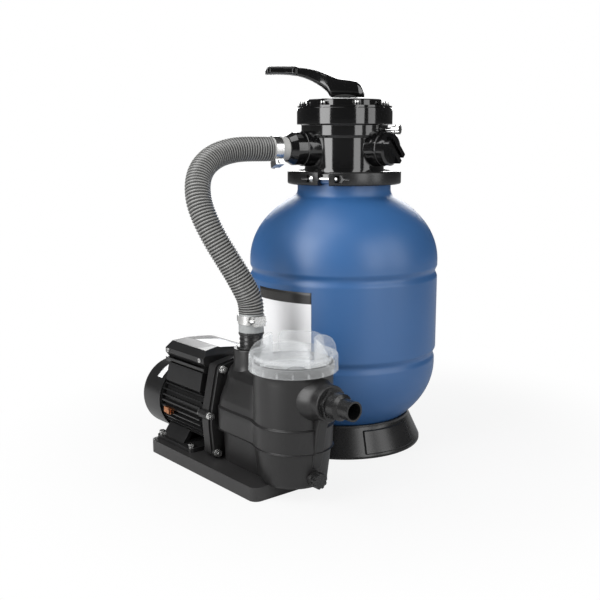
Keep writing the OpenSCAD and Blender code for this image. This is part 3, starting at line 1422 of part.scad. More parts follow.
module impeller() {
  vane_count = 6;
  color("dimgray") along_pump(impeller_x, motor_z) difference() {
    union() {
      cylinder(r = impeller_r, h = 3);
      cylinder(r = 10, h = impeller_t);
      around(vane_count) translate([8, -1.2, 2]) cube([impeller_r - 9, 2.4, impeller_t - 4]);
    }
    translate([0, 0, -cut]) cylinder(r = shaft_r + seat_gap, h = impeller_t - 1);
  }
}
module shaft_seal() {
  color("dimgray") along_pump(bracket_front_x - 5 + 0.2, motor_z) difference() {
    union() {
      cylinder(r = seal_r, h = 6);
      cylinder(r = seal_r - 2, h = 11);
    }
    translate([0, 0, -cut]) cylinder(r = shaft_r + run_gap, h = 20);
  }
}

// Strainer

basket_rest_z = lid_low_z - 1;
lid_seal_r = (thread_r + pot_bore_r) / 2;
lid_seal_wire = 1.7;
lid_in_r = thread_r + 0.9;
wing_mid_deg = -51;
wing_in_r = lid_r - 32;
module strainer_basket() {
  low_z = pot_floor_z + 8;
  low_r = pot_low_r - pot_wall - 4;
  top_r = min(basket_r, low_r + 3);
  rim_r = pot_bore_r - 0.6;
  t = 1.6;
  slot_rows = 5;
  slot_count = 18;
  color("whitesmoke") at_pump(pot_x) difference() {
    rotate_extrude() polygon([[0, low_z], [low_r, low_z], [top_r, basket_rest_z - 2],
      [top_r, basket_rest_z + seat_gap], [rim_r, basket_rest_z + seat_gap], [rim_r, basket_rest_z + 2.2],
      [top_r - t, basket_rest_z + 2.2],
      [low_r - t, low_z + t], [0, low_z + t]]);
    for (i = [0:slot_rows - 1]) translate([0, 0, low_z + 10 + i * 15]) around(slot_count, 10)
      translate([low_r - 6, -3, 0]) cube([20, 6, 9]);
    translate([0, 0, inlet_z]) rotate([0, 90, 0]) cylinder(r = inlet_bore_r - 1, h = 100);
  }
}
module strainer_lid() {
  deck_z = lid_rim_z - 7;
  groove_d = 1.2;
  lug_count = 18;
  bevel = 2;
  color(clear_white) at_pump(pot_x) difference() {
    union() {
      translate([0, 0, lid_low_z]) cylinder(r = lid_r, h = lid_rim_z - lid_low_z - bevel);
      translate([0, 0, lid_rim_z - bevel]) cylinder(r1 = lid_r, r2 = lid_r - bevel, h = bevel);
      around(lug_count) translate([lid_r - 1, -1.2, lid_low_z + 1]) cube([2, 2.4, 6]);
    }
    translate([0, 0, lid_low_z - cut]) cylinder(r = lid_in_r, h = pot_top_z + move_gap - lid_low_z + cut);
    translate([0, 0, deck_z]) cylinder(r = lid_r - 7, h = 20);
    for (r = [lid_r - 16, lid_r - 28, lid_r - 40]) translate([0, 0, deck_z - groove_d]) ring(r, r - 3, 6);
    translate([0, 0, pot_top_z]) seal_groove(lid_seal_r, lid_seal_wire + move_gap);
  }
  color(clear_white) at_pump(pot_x) around(4, wing_mid_deg) wing(deck_z - 2);
}
// One grip wing: an upright wall that curves in
module wing(low) {
  corner = 12;
  x = (lid_r - 1.5) * cos(wing_deg / 2);
  half = (lid_r - 1.5) * sin(wing_deg / 2);
  r = (half * half / (x - wing_in_r) + x - wing_in_r) / 2;
  intersection() {
    translate([r + wing_in_r, 0, low]) ring(r, r - lid_wall, wing_top_z - low);
    rotate([90, 0, 90]) linear_extrude(x + cut) union() {
      translate([-half, low]) square([2 * half, wing_top_z - low - corner]);
      translate([-half + corner, low]) square([2 * (half - corner), wing_top_z - low]);
      for (s = [-1, 1]) translate([s * (half - corner), wing_top_z - corner]) circle(r = corner);
    }
  }
}
module lid_seal() {
  color(seal_black) at_pump(pot_x, pot_top_z + 0.3) seal_ring(lid_seal_r, lid_seal_wire - 0.35);
}

// Pump adapters and drain

module outlet_adapter() {
  collar = 3;
  ring_count = 3;
  ring_pitch = 6;
  color(satin_black) at_pump(outlet_x, outlet_top_z) difference() {
    union() {
      translate([0, 0, -20]) cylinder(r = outlet_bore_r - seat_gap, h = 20.5);
      translate([0, 0, seat_gap]) cylinder(r = outlet_bore_r + 2, h = 3);
      cylinder(r = hose_valley_r - 0.4, h = outlet_barb_l - seat_gap);
      for (i = [0:ring_count - 1]) translate([0, 0, (i + 1) * ring_pitch])
        cylinder(r1 = hose_valley_r + 0.6, r2 = hose_valley_r - 0.4, h = 4);
      translate([0, 0, outlet_barb_l - collar - seat_gap]) cylinder(r = hose_r, h = collar);
      cylinder(r = spigot_r, h = outlet_barb_l + spigot_l);
    }
    translate([0, 0, -30]) cylinder(r = spigot_r - spigot_wall, h = 120);
  }
}
module inlet_adapter() {
  collar_t = 7;
  step_x = inlet_end_x - 20;
  color(satin_black) along_pump(inlet_face_x + seat_gap, inlet_z) difference() {
    union() {
      translate([0, 0, -16]) cylinder(r = inlet_bore_r - seat_gap, h = 17);
      cylinder(r = inlet_r - 3.5, h = 2);
      translate([0, 0, 1.9]) rotate([0, 0, 15]) hex(2 * inlet_r - 12, collar_t - 1.9);
      cylinder(r = suction_r + 4.5, h = step_x - inlet_face_x - 3);
      translate([0, 0, step_x - inlet_face_x - 3.01]) cylinder(r1 = suction_r + 4.5, r2 = suction_r, h = 3);
      cylinder(r = suction_r, h = inlet_end_x - inlet_face_x);
    }
    translate([0, 0, -20]) cylinder(r = suction_r - spigot_wall, h = 120);
  }
}
module pump_drain_plug() {
  head_r = 11;
  color(satin_black) translate([0, -pump_y + drain_plug_y, drain_plug_z]) rotate([0, 90, 0]) {
    translate([0, 0, drain_face_x + move_gap]) difference() {
      cylinder(r = head_r, h = 11);
      around(9) translate([head_r + 1.2, 0, 2]) cylinder(r = 2.6, h = 11);
    }
    translate([0, 0, drain_face_x - 9]) cylinder(r = drain_plug_r - move_gap, h = 9 + 2 * move_gap);
  }
}

tank_foot();
tank_shell();
tank_label();
tank_drain_plug();
standpipe();
lateral_hub();
laterals();
top_diffuser();
tank_seal();
clamp_half_left();
clamp_half_right();
clamp_bolts();
clamp_nuts();
valve_body();
valve_cover();
cover_seal();
cover_screws();
seat_gasket();
diverter();
diverter_spring();
slip_washer();
handle();
handle_pin();
bleed_screw();
port_cap();
pump_port_adapter();
return_adapter();
hose();
hose_clamp_bands();
hose_clamp_screws();
pump_base();
motor_foot();
foot_bolts();
motor_housing();
fan_cover();
fan_cover_screws();
cooling_fan();
motor_shaft();
rotor_core();
stator();
bearings();
terminal_box();
terminal_cover();
terminal_screws();
capacitor();
cable_gland();
bonding_lug();
motor_bracket();
bracket_bolts();
bracket_nuts();
pump_housing();
impeller();
shaft_seal();
strainer_basket();
strainer_lid();
lid_seal();
outlet_adapter();
inlet_adapter();
pump_drain_plug();
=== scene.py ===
import json
import math

import bmesh
import bpy
import numpy as np
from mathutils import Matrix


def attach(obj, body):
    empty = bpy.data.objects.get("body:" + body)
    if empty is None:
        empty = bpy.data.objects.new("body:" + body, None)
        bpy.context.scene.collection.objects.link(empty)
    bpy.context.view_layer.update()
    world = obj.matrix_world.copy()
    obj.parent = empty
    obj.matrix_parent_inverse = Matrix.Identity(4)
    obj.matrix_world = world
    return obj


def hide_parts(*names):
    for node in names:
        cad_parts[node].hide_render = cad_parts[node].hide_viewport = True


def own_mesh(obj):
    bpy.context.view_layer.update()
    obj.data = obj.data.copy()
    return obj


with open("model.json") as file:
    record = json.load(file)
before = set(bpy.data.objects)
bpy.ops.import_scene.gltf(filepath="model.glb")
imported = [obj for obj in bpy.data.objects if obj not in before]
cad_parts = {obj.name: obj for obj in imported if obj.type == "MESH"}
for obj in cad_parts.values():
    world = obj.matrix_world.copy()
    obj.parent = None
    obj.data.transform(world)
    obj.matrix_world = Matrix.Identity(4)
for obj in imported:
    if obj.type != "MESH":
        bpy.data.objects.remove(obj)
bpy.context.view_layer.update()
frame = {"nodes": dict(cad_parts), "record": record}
nodes = frame["nodes"]
bodies = frame["record"]["behaviour"]["bodies"]
bodyOf = {name: body for body, members in bodies.items() for name in members}
print("frame loaded:", len(nodes), "nodes")

# camera, where the photograph was taken from
shot = {"place": (1.0796, -0.9859, 0.4933), "turn": (79.542, 0.0, 50.35), "lens": 54.6, "shiftUp": 0.0033}
shotLens = bpy.data.cameras.new("shotLens")
shotLens.lens, shotLens.shift_y = shot["lens"], shot["shiftUp"]
shotCamera = bpy.data.objects.new("shotCamera", shotLens)
shotCamera.location = shot["place"]
shotCamera.rotation_euler = [math.radians(a) for a in shot["turn"]]
bpy.context.scene.collection.objects.link(shotCamera)
bpy.context.scene.camera = shotCamera
bpy.context.scene.view_settings.view_transform = "Standard"


class Wire:  # a socket, and the sums that it can be part of
    def __init__(self, tree, socket):
        self.tree, self.socket = tree, socket

    def sum(self, operation, first, second):
        node = self.tree.nodes.new("ShaderNodeMath")
        node.operation = operation
        for socket, value in zip(node.inputs, (first, second)):
            if isinstance(value, Wire):
                self.tree.links.new(value.socket, socket)
            else:
                socket.default_value = value
        return Wire(self.tree, node.outputs[0])

    def __add__(self, other):
        return self.sum("ADD", self, other)

    def __radd__(self, other):
        return self.sum("ADD", other, self)

    def __sub__(self, other):
        return self.sum("SUBTRACT", self, other)

    def __rsub__(self, other):
        return self.sum("SUBTRACT", other, self)

    def __mul__(self, other):
        return self.sum("MULTIPLY", self, other)

    def __rmul__(self, other):
        return self.sum("MULTIPLY", other, self)

    def larger(self, other):
        return self.sum("MAXIMUM", self, other)


class Bench:  # a node tree to build on
    def __init__(self, tree):
        self.tree = tree

    def node(self, kind, settings=None, sockets=None, out=0):
        made = self.tree.nodes.new("ShaderNode" + kind)
        for key, value in (settings or {}).items():
            if key == "stops":
                ramp = made.color_ramp
                while len(ramp.elements) < len(value):
                    ramp.elements.new(0.5)
                for element, (place, colour) in zip(ramp.elements, value):
                    element.position, element.color = place, (*colour, 1)
            else:
                setattr(made, key, value)
        self.feed(made, sockets or {})
        return Wire(self.tree, made.outputs[out])

    def feed(self, node, sockets):
        for key, value in sockets.items():
            if isinstance(value, Wire):
                self.tree.links.new(value.socket, node.inputs[key])
            else:
                node.inputs[key].default_value = value


class Finish(Bench):  # a material with its shader
    def __init__(self, name, fixed):
        self.material = bpy.data.materials.new(name)
        self.material.use_nodes = True
        super().__init__(self.material.node_tree)
        self.shader = self.tree.nodes["Principled BSDF"]
        self.place = self.node("TexCoord", out="Object")
        self.set(fixed)

    def set(self, sockets):
        self.feed(self.shader, sockets)
        return self

    def noise(self, scale, detail=2.0, stretch=None):
        where = self.place
        if stretch:
            where = self.node("Mapping", {}, {"Vector": self.place, "Scale": stretch})
        return self.node("TexNoise", {}, {"Vector": where, "Scale": scale, "Detail": detail})

    def bump(self, height, strength, depth):
        return self.node("Bump", {}, {"Strength": strength, "Distance": depth, "Height": height})


def moulded(name, look):
    # moulded plastic: slow clouds in the colour, fine grain in the gloss and in the surface
    f = Finish(name, look.get("fixed", {}))
    cloud, grain = f.noise(look.get("cloud", 14.0)), f.noise(look["grain"], 3.0)
    colour = np.array(look["colour"])
    stops = [(0.32, colour * look.get("dark", 0.9)), (0.68, colour * look.get("light", 1.1))]
    tint = f.node("ValToRGB", {"stops": stops}, {"Fac": cloud})
    rough = look["rough"] + (grain - 0.5) * look.get("roughSpread", 0.12)
    rough = rough + (cloud - 0.5) * look.get("roughCloud", 0.08)
    bump = f.bump(grain, look["bump"], look.get("depth", 0.0004))
    return f.set({"Base Color": tint, "Roughness": rough, "Normal": bump})


def metal(name, look):
    # bare metal: the gloss follows fine lines drawn out one way, with faint stains
    f = Finish(name, {"Metallic": 1.0})
    lines = f.noise(look["lines"], 4.0, look.get("drawn", (1, 1, 0.15)))
    stain = f.noise(40.0, 2.0)
    colour = np.array(look["colour"])
    stops = [(0.3, colour * look.get("dark", 0.82)), (0.7, colour)]
    tint = f.node("ValToRGB", {"stops": stops}, {"Fac": stain})
    rough = look["rough"] + (lines - 0.5) * 0.22
    return f.set({"Base Color": tint, "Roughness": rough, "Normal": f.bump(lines, 0.08, 0.0002)})


plastics = {
    "tankBlue": {"colour": (0.026, 0.098, 0.255), "rough": 0.42, "grain": 620.0, "bump": 0.10, "cloud": 6.0,
                 "dark": 0.93, "light": 1.06, "fixed": {"Coat Weight": 0.15, "Coat Roughness": 0.35}},
    "valveBlack": {"colour": (0.004, 0.004, 0.0042), "rough": 0.11, "grain": 260.0, "bump": 0.02,
                   "roughSpread": 0.04, "roughCloud": 0.05,
                   "fixed": {"Coat Weight": 0.5, "Coat Roughness": 0.06}},
    "footBlack": {"colour": (0.012, 0.012, 0.0122), "rough": 0.27, "grain": 900.0, "bump": 0.07},
    "pumpCharcoal": {"colour": (0.0115, 0.0112, 0.0114), "rough": 0.36, "grain": 1500.0, "bump": 0.12,
                     "depth": 0.0003},
    "baseCharcoal": {"colour": (0.024, 0.0235, 0.0237), "rough": 0.36, "grain": 1500.0, "bump": 0.12,
                     "depth": 0.0003},
    "motorBlack": {"colour": (0.0120, 0.0120, 0.0123), "rough": 0.33, "grain": 700.0, "bump": 0.12},
    "sealRubber": {"colour": (0.012, 0.012, 0.012), "rough": 0.62, "grain": 1200.0, "bump": 0.15},
    "whitePlastic": {"colour": (0.78, 0.79, 0.79), "rough": 0.42, "grain": 800.0, "bump": 0.08,
                     "dark": 0.96, "light": 1.02},
}
metals = {
    "brightSteel": {"colour": (0.72, 0.72, 0.71), "rough": 0.24, "lines": 900.0},
    "coreIron": {"colour": (0.30, 0.30, 0.31), "rough": 0.45, "lines": 500.0, "drawn": (0.1, 1, 1)},
    "canAluminium": {"colour": (0.66, 0.67, 0.68), "rough": 0.34, "lines": 600.0, "drawn": (0.1, 1, 1)},
    "lugCopper": {"colour": (0.62, 0.27, 0.13), "rough": 0.32, "lines": 700.0, "dark": 0.7},
}
finishes = {name: moulded(name, look) for name, look in plastics.items()}
finishes.update({name: metal(name, look) for name, look in metals.items()})


def clearPlastic(name):
    # clear lid: thin and see-through face on, whiter towards the edges, with faint flow clouds
    f = Finish(name, {"Base Color": (0.80, 0.82, 0.83, 1), "IOR": 1.49})
    edge = f.node("LayerWeight", {}, {"Blend": 0.35}, "Facing")
    haze, grain = f.noise(30.0, 3.0), f.noise(500.0)
    return f.set({"Alpha": 0.07 + edge * 0.42 + haze * 0.06, "Roughness": 0.04 + haze * 0.08,
                  "Normal": f.bump(grain, 0.03, 0.0003)})


finishes["clearPlastic"] = clearPlastic("clearPlastic")
print("finishes made:", len(finishes))


def gridFaces(rows, cols, loopRows, loopCols):
    # four-cornered faces between neighbouring rows and columns, joined round where a side closes
    i, j = np.meshgrid(np.arange(rows - (not loopRows)), np.arange(cols - (not loopCols)), indexing="ij")
    down, right = (i + 1) % rows, (j + 1) % cols
    return np.stack([i * cols + j, i * cols + right, down * cols + right, down * cols + j], -1).reshape(-1, 4)


def makePiece(name, sheets, finish, body="root", stands=(), sharp=38.0, uv=None):
    # grids of points in millimetres become one mesh in metres, each turned to enclose a positive volume
    points, faces, count = [], [], 0
    for grid, loopRows, loopCols in sheets:
        flat = grid.reshape(-1, 3) / 1000
        quads = gridFaces(*grid.shape[:2], loopRows, loopCols)
        p = flat[quads]
        if np.sum(p[:, 0] * (np.cross(p[:, 1], p[:, 2]) + np.cross(p[:, 2], p[:, 3]))) < 0:
            quads = quads[:, ::-1]
        points.append(flat)
        faces.append(quads + count)
        count += len(flat)
    points, faces = np.concatenate(points), np.concatenate(faces)
    mesh = bpy.data.meshes.new(name)
    mesh.from_pydata(points.tolist(), [], faces.tolist())
    if uv is not None:
        corners = uv.reshape(-1, 2)[faces.reshape(-1)].astype(np.float32)
        mesh.uv_layers.new(name="UVMap").data.foreach_set("uv", corners.ravel())
    work = bmesh.new()
    work.from_mesh(mesh)
    bmesh.ops.remove_doubles(work, verts=work.verts, dist=2e-6)
    work.to_mesh(mesh)
    work.free()
    mesh.shade_smooth()
    mesh.set_sharp_from_angle(angle=math.radians(sharp))
    return enter(bpy.data.objects.new(name, mesh), finish, body, stands)


def enter(piece, finish, body, stands):
    piece.data.materials.clear()
    piece.data.materials.append(finishes[finish].material)
    bpy.context.scene.collection.objects.link(piece)
    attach(piece, body)
    if stands:
        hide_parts(*stands)
    return piece


def along(spans):
    # stretches of evenly spaced numbers, given as (from, to, count), strung together without repeats
    return np.unique(np.concatenate([np.linspace(*s) for s in spans]))


def roundedLine(corners, radius, steps=6):
    # each inner corner becomes a curve that leaves along one side and arrives along the next
    p = np.array(corners, float)
    radius = np.broadcast_to(np.array(radius, float), len(p) - 2)[:, None]
    a, b = p[:-2] - p[1:-1], p[2:] - p[1:-1]
    la, lb = np.linalg.norm(a, axis=1, keepdims=True), np.linalg.norm(b, axis=1, keepdims=True)
    cut = np.minimum(radius, 0.48 * np.minimum(la, lb))
    t = np.linspace(0, 1, steps)[None, :, None]
    start, end = (p[1:-1] + a / la * cut)[:, None], (p[1:-1] + b / lb * cut)[:, None]
    curve = (1 - t) ** 2 * start + 2 * t * (1 - t) * p[1:-1][:, None] + t ** 2 * end
    line = np.concatenate([p[:1], curve.reshape(-1, p.shape[1]), p[-1:]])
    keep = np.r_[True, np.linalg.norm(np.diff(line, axis=0), axis=1) > 1e-6]
    return line[keep]


def turned(profile, count=96):
    # a line of (radius, height) carried round the vertical axis: x = r cos a, y = r sin a
    a = np.linspace(0, 2 * np.pi, count, endpoint=False)
    r, z = profile[:, :1], profile[:, 1:2]
    return np.stack([r * np.cos(a), r * np.sin(a), z + 0 * a], -1)


def laid(points, origin, axis, up=(0, 0, 1)):
    # a shape made about the vertical axis, laid along another axis and moved to its place
    k = np.array(axis, float) / np.linalg.norm(axis)
    s = np.cross(up, k)
    s = np.array([1.0, 0, 0]) if np.linalg.norm(s) < 1e-6 else s / np.linalg.norm(s)
    t = np.cross(k, s)
    return np.array(origin, float) + points[..., :1] * s + points[..., 1:2] * t + points[..., 2:] * k


def spun(points, degrees):
    # a shape turned about the vertical axis
    c, s = aim(degrees)[:2]
    return points @ np.array([[c, s, 0], [-s, c, 0], [0, 0, 1]])


def ramp(x, low, high):
    # 0 before low, 1 after high, and an even S between them
    t = np.clip((x - low) / (high - low), 0, 1)
    return t * t * (3 - 2 * t)


def aim(degrees):
    return np.array([math.cos(math.radians(degrees)), math.sin(math.radians(degrees)), 0.0])


def capped(grid):
    # a tube's first and last ring are each drawn in to their middle
    first, last = grid[:1], grid[-1:]
    return np.concatenate([first.mean(1, keepdims=True) + 0 * first, grid,
                           last.mean(1, keepdims=True) + 0 * last])


# hose: ribbed, with a smooth cuff at each end
hose = {"radius": 18.5, "valley": 16.7, "cuffRadius": 18.2, "bore": 15.6, "ribs": 84, "cuff": 28.0,
        "cuffShare": 0.066, "around": 40, "perRib": 9, "boreRings": 60, "portDegrees": -101.0,
        "portHeight": 471.0, "planeNormal": (0.82, 0.10, 0.56)}
portAim, portRise = aim(hose["portDegrees"]), np.array([0, 0, hose["portHeight"]])
hoseRoute = np.array([*(portAim * d + portRise for d in (104, 123, 142)),
                      (-32, -172, 471), (-34, -194, 469), (-34, -216, 464), (-31, -235, 456),
                      (-26, -251, 445), (-19, -263, 431), (-10, -271, 414), (0, -274, 394),
                      (12, -271, 370), (23, -263, 345), (32, -252, 321), (39, -241, 299),
                      (44, -231, 278), (46, -224, 263), (46.5, -221, 247), (46.5, -221, 232),
                      (46.5, -221, 213)], float)


def smoothRoute(points, perSpan):
    # Catmull-Rom: between two points runs the cubic that leaves along the chord of their neighbours
    last = len(points) - 1
    s = np.linspace(0, last, last * perSpan + 1)
    i = np.minimum(s.astype(int), last - 1)
    t = (s - i)[:, None]
    a, b, c, d = points[np.maximum(i - 1, 0)], points[i], points[i + 1], points[np.minimum(i + 2, last)]
    return b + 0.5 * t * (c - a + t * (2 * a - 5 * b + 4 * c - d + t * (3 * b - 3 * c + d - a)))


def makeHose():
    # at a distance d along the route the wall stands off by valley + rise * (half a wave of the rib)
    h = hose
    fine = smoothRoute(hoseRoute, 40)
    reach = np.r_[0, np.cumsum(np.linalg.norm(np.diff(fine, axis=0), axis=1))]
    length = reach[-1]
    ribbed = length - 2 * h["cuff"]
    ribD = h["cuff"] + ribbed * np.linspace(0, 1, h["ribs"] * h["perRib"] + 1)
    cuffD = np.r_[0, 0.4, 1.2, np.linspace(2, h["cuff"] - 1.2, 8)]
    d = np.r_[cuffD, ribD, length - cuffD[::-1]]
    wave = 0.5 - 0.5 * np.cos(2 * np.pi * h["ribs"] * (d - h["cuff"]) / ribbed)
    rib = h["valley"] + (h["radius"] - h["valley"]) * wave ** 0.75
    inCuff = (d < h["cuff"] - 1) | (d > length - h["cuff"] + 1)
    lip = np.minimum(np.minimum(d, length - d), 1.2) / 1.2
    r = np.where(inCuff, h["cuffRadius"] - 0.9 * (1 - lip) ** 2, rib)
    back = np.linspace(length, 0, h["boreRings"])
    d, r = np.r_[d, back], np.r_[r, np.full(h["boreRings"], h["bore"])]
    centre = np.stack([np.interp(d, reach, fine[:, axis]) for axis in range(3)], -1)
    slope = np.gradient(fine, reach, axis=0)
    k = np.stack([np.interp(d, reach, slope[:, axis]) for axis in range(3)], -1)
    k /= np.linalg.norm(k, axis=1, keepdims=True)
    s = np.cross(k, h["planeNormal"])
    s /= np.linalg.norm(s, axis=1, keepdims=True)
    n = np.cross(s, k)
    a = np.linspace(0, 2 * np.pi, h["around"], endpoint=False)[None, :, None]
    grid = centre[:, None] + r[:, None, None] * (np.cos(a) * s[:, None] + np.sin(a) * n[:, None])
    uv = np.stack(np.broadcast_arrays(np.linspace(0, 1, h["around"])[None, :], (d / length)[:, None]), -1)
    piece = makePiece("hoseRibbed", [(grid, True, True)], "hoseGrey", "root", ["hose"], 60.0, uv)
    (fine[::10] / 1000).tolist()
    return length


def hoseFinish():
    # grey soft plastic: the cuffs are paler, and the valleys between the ribs carry painted shade, darker
    # than their crests
    f = Finish("hoseGrey", {})
    spot = f.node("UVMap", {"uv_map": "UVMap"})
    down = f.node("SeparateXYZ", {}, {"Vector": spot}, "Y")
    share = hose["cuffShare"]  # of the length, in each cuff
    turn = (down - share) * (2 * math.pi * hose["ribs"] / (1 - 2 * share))
    # painted shade: the colour is darkest in the valleys between the ribs and lightest on their crests
    ribShadeLevel = f.node("MapRange", {}, {"Value": turn.sum("COSINE", turn, 0), "From Min": 1.0, "From Max": -1.0})
    ribShadeStops = [(0.15, (0.040, 0.040, 0.039)), (0.95, (0.24, 0.24, 0.232))]
    cuffStops = [(share - 0.003, (0.36, 0.36, 0.35)), (1.003 - share, (0.30, 0.31, 0.31))]
    maskStops = [(share - 0.002, (1, 1, 1)), (share, (0, 0, 0)), (1 - share, (0, 0, 0)),
                 (1.002 - share, (1, 1, 1))]
    ribShadeTint = f.node("ValToRGB", {"stops": ribShadeStops}, {"Fac": ribShadeLevel})
    cuffTint = f.node("ValToRGB", {"stops": cuffStops}, {"Fac": down})
    inCuff = f.node("ValToRGB", {"stops": maskStops}, {"Fac": down})
    tint = f.node("Mix", {"data_type": "RGBA"}, {0: inCuff, 6: ribShadeTint, 7: cuffTint}, 2)
    grain, cloud = f.noise(700.0, 3.0), f.noise(25.0)
    rough = 0.40 + (grain - 0.5) * 0.12 + (cloud - 0.5) * 0.12
    return f.set({"Base Color": tint, "Roughness": rough, "Normal": f.bump(grain, 0.12, 0.0003)})


finishes["hoseGrey"] = hoseFinish()
print("hose made, %.0f mm long" % makeHose())

# tank: a barrel with two grooves between two domes, and the neck that the valve is clamped to
tank = {"radius": 150.5, "lowRadius": 149.0, "widenFrom": 138.0, "widenTo": 158.0, "wall": 6.0,
        "bottom": 20.0, "lowSpring": 132.0, "highSpring": 296.0, "dome": 118.0, "lowGroove": 148.0,
        "highGroove": 280.0, "grooveDepth": 3.2, "grooveWidth": 20.0, "neck": 74.0, "neckBore": 62.0,
        "fillet": 7.0, "flange": 80.0, "flangeLow": 419.5, "top": 426.0, "around": 180, "drainDegrees": 100.0,
        "drainHeight": 70.0, "drainReach": 136.0, "drainLength": 34.0}


def ellipseLine(r, h, z, start, end, count):
    # stretch of an ellipse: (r cos a, z + h sin a)
    a = np.linspace(start, end, count)
    return np.stack([r * np.cos(a), z + h * np.sin(a)], -1)


def groove(z, middle, width):
    # half a cosine wave, 1 in the groove's middle and 0 at its edges
    return np.where(np.abs(z - middle) < width / 2, 0.5 + 0.5 * np.cos(2 * np.pi * (z - middle) / width), 0)


def makeTank():
    # the barrel's radius at a height is its own, less the depth of the grooves there
    t = tank
    z = along([(t["lowSpring"], 165, 60), (165, 265, 24), (265, t["highSpring"], 50)])
    r = t["lowRadius"] + (t["radius"] - t["lowRadius"]) * ramp(z, t["widenFrom"], t["widenTo"])
    sunk = groove(z, t["lowGroove"], t["grooveWidth"]) + groove(z, t["highGroove"], t["grooveWidth"])
    barrel = np.stack([r - t["grooveDepth"] * sunk, z], -1)
    neckFoot = t["neck"] + 0.6 * t["fillet"]
    neckAngle = math.acos(neckFoot / t["radius"])
    footZ = t["highSpring"] + t["dome"] * math.sin(neckAngle)
    lowAngle = -math.asin((t["lowSpring"] - t["bottom"]) / t["dome"])
    low = ellipseLine(t["lowRadius"], t["dome"], t["lowSpring"], lowAngle, 0, 40)
    high = ellipseLine(t["radius"], t["dome"], t["highSpring"], 0, neckAngle - 0.03, 50)
    neck = roundedLine([high[-1], (neckFoot - 1.5, footZ + 1.2), (t["neck"], footZ + 8),
                        (t["neck"], t["flangeLow"]), (t["flange"], t["flangeLow"]), (t["flange"], t["top"]),
                        (t["neckBore"], t["top"])], (3, 6, 1.5, 1, 1), 8)
    w = t["wall"]
    inAngle = math.acos(t["neckBore"] / (t["radius"] - w))
    inHigh = ellipseLine(t["radius"] - w, t["dome"] - w, t["highSpring"], inAngle, 0, 24)
    inAngle = -math.asin((t["lowSpring"] - t["bottom"] - w) / (t["dome"] - w))
    inLow = ellipseLine(t["lowRadius"] - w, t["dome"] - w, t["lowSpring"], 0, inAngle, 24)
    line = np.concatenate([[(0, t["bottom"])], low[:-1], barrel, high[1:-1], neck, inHigh, inLow,
                           [(0, t["bottom"] + w)]])
    long = t["drainLength"]
    boss = turned(roundedLine([(0, 0), (15, 0), (13, 16), (13, long), (7.2, long), (7.2, 22), (0, 22)],
                              (1, 3, 1.2, 0.5, 0.5)), 48)
    out = aim(t["drainDegrees"])
    boss = laid(boss, out * (t["drainReach"] - long) + [0, 0, t["drainHeight"]], out)
    sheets = [(turned(line, t["around"]), False, True), (boss, False, True)]
    makePiece("tankShell", sheets, "tankBlue", "root", ["tank_shell"], 50.0)


makeTank()
print("tank made")

# foot: a tapering skirt with four raised panels, and crossed ribs with a hub under the tank
foot = {"radius": 127.5, "inner": 123.5, "topRadius": 109.0, "height": 48.0, "lip": 4.0, "panelDegrees": 46.0,
        "panelShift": -2.0, "panelRise": 1.5, "hub": 16.0, "ribHeight": 13.6, "ribHalf": 2.0,
        "ribReach": 118.0, "ribDegrees": (45, 135)}


def makeFoot():
    # the skirt's radius falls evenly with height, and stands out by the panel's rise where both ramps are 1
    f = foot
    half = f["panelDegrees"] / 2
    edges = np.array([90 * k + f["panelShift"] + s * half for k in range(4) for s in (-1, 1)])
    deg = np.concatenate([np.arange(0, 360, 2.0), *(e + np.linspace(-1.2, 1.2, 9) for e in edges)])
    deg = np.unique(np.round(deg % 360, 4))
    zOut = along([(f["lip"], 6, 4), (6, 8.4, 7), (9, 38, 14), (38.4, 41, 7),
                  (41.5, f["height"] - f["lip"], 4)])
    slope = (f["radius"] - f["topRadius"]) / (f["height"] - 2 * f["lip"])
    outside = np.stack([f["radius"] - (zOut - f["lip"]) * slope, zOut], -1)
    low = roundedLine([(f["inner"], 0.0), (f["radius"], 0.0), (f["radius"], f["lip"])], 1.0)
    top = roundedLine([outside[-1], (f["topRadius"], f["height"]), (104.6, f["height"]), (103.0, 41.0),
                       (105.0, 38.0), (f["inner"], f["lip"])], (1.2, 0.6, 1, 1))
    line = np.concatenate([low, outside[1:-1], top])
    r, z = line[:, :1], line[:, 1:]
    away = np.abs((deg - f["panelShift"] + 45) % 90 - 45)
    rise = f["panelRise"] * ramp(half - away, -0.5, 0.5)[None] * ramp(z, 6.4, 8.0) * (1 - ramp(z, 38.8, 40.4))
    r = r + np.where(r > f["radius"] - (z - f["lip"]) * slope - 0.1, rise, 0)
    a = np.radians(deg)[None]
    skirt = np.stack([r * np.cos(a), r * np.sin(a), z + 0 * a], -1)
    hub = turned(roundedLine([(0, 0), (f["hub"], 0), (f["hub"], 14), (0, 14)], 1.0), 48)
    sheets = [(skirt, True, True), (hub, False, True)]
    w = f["ribHalf"]
    u = roundedLine([(0, -w), (w, -w), (w, w), (-w, w), (-w, -w), (0, -w)], 0.4, 4)
    tall = f["ribHeight"] / (2 * w)
    for turn in f["ribDegrees"]:  # a long bar of that section
        x = np.array([-f["ribReach"], f["ribReach"]])[:, None, None]
        y, z = u[None, :, :1], (u[None, :, 1:] + w) * tall
        bar = np.concatenate([x + 0 * y, y + 0 * x, z + 0 * x], -1)
        sheets.append((spun(capped(bar), turn), False, False))
    makePiece("tankFoot", sheets, "footBlack", "root", ["tank_foot"], 35.0)


makeFoot()
print("foot made")

# valve body: a turned bowl with three ports
valve = {"flange": 80.0, "flangeLow": 427.0, "low": 62.5, "step": 488.0, "bowl": 68.0, "rimLow": 508.0,
         "rim": 75.0, "top": 533.0, "ports": (-101.0, 10.0, 121.0), "portHeight": 471.0, "port": 26.5,
         "portReach": 78.0, "portLength": 38.0, "portBore": 15.5}


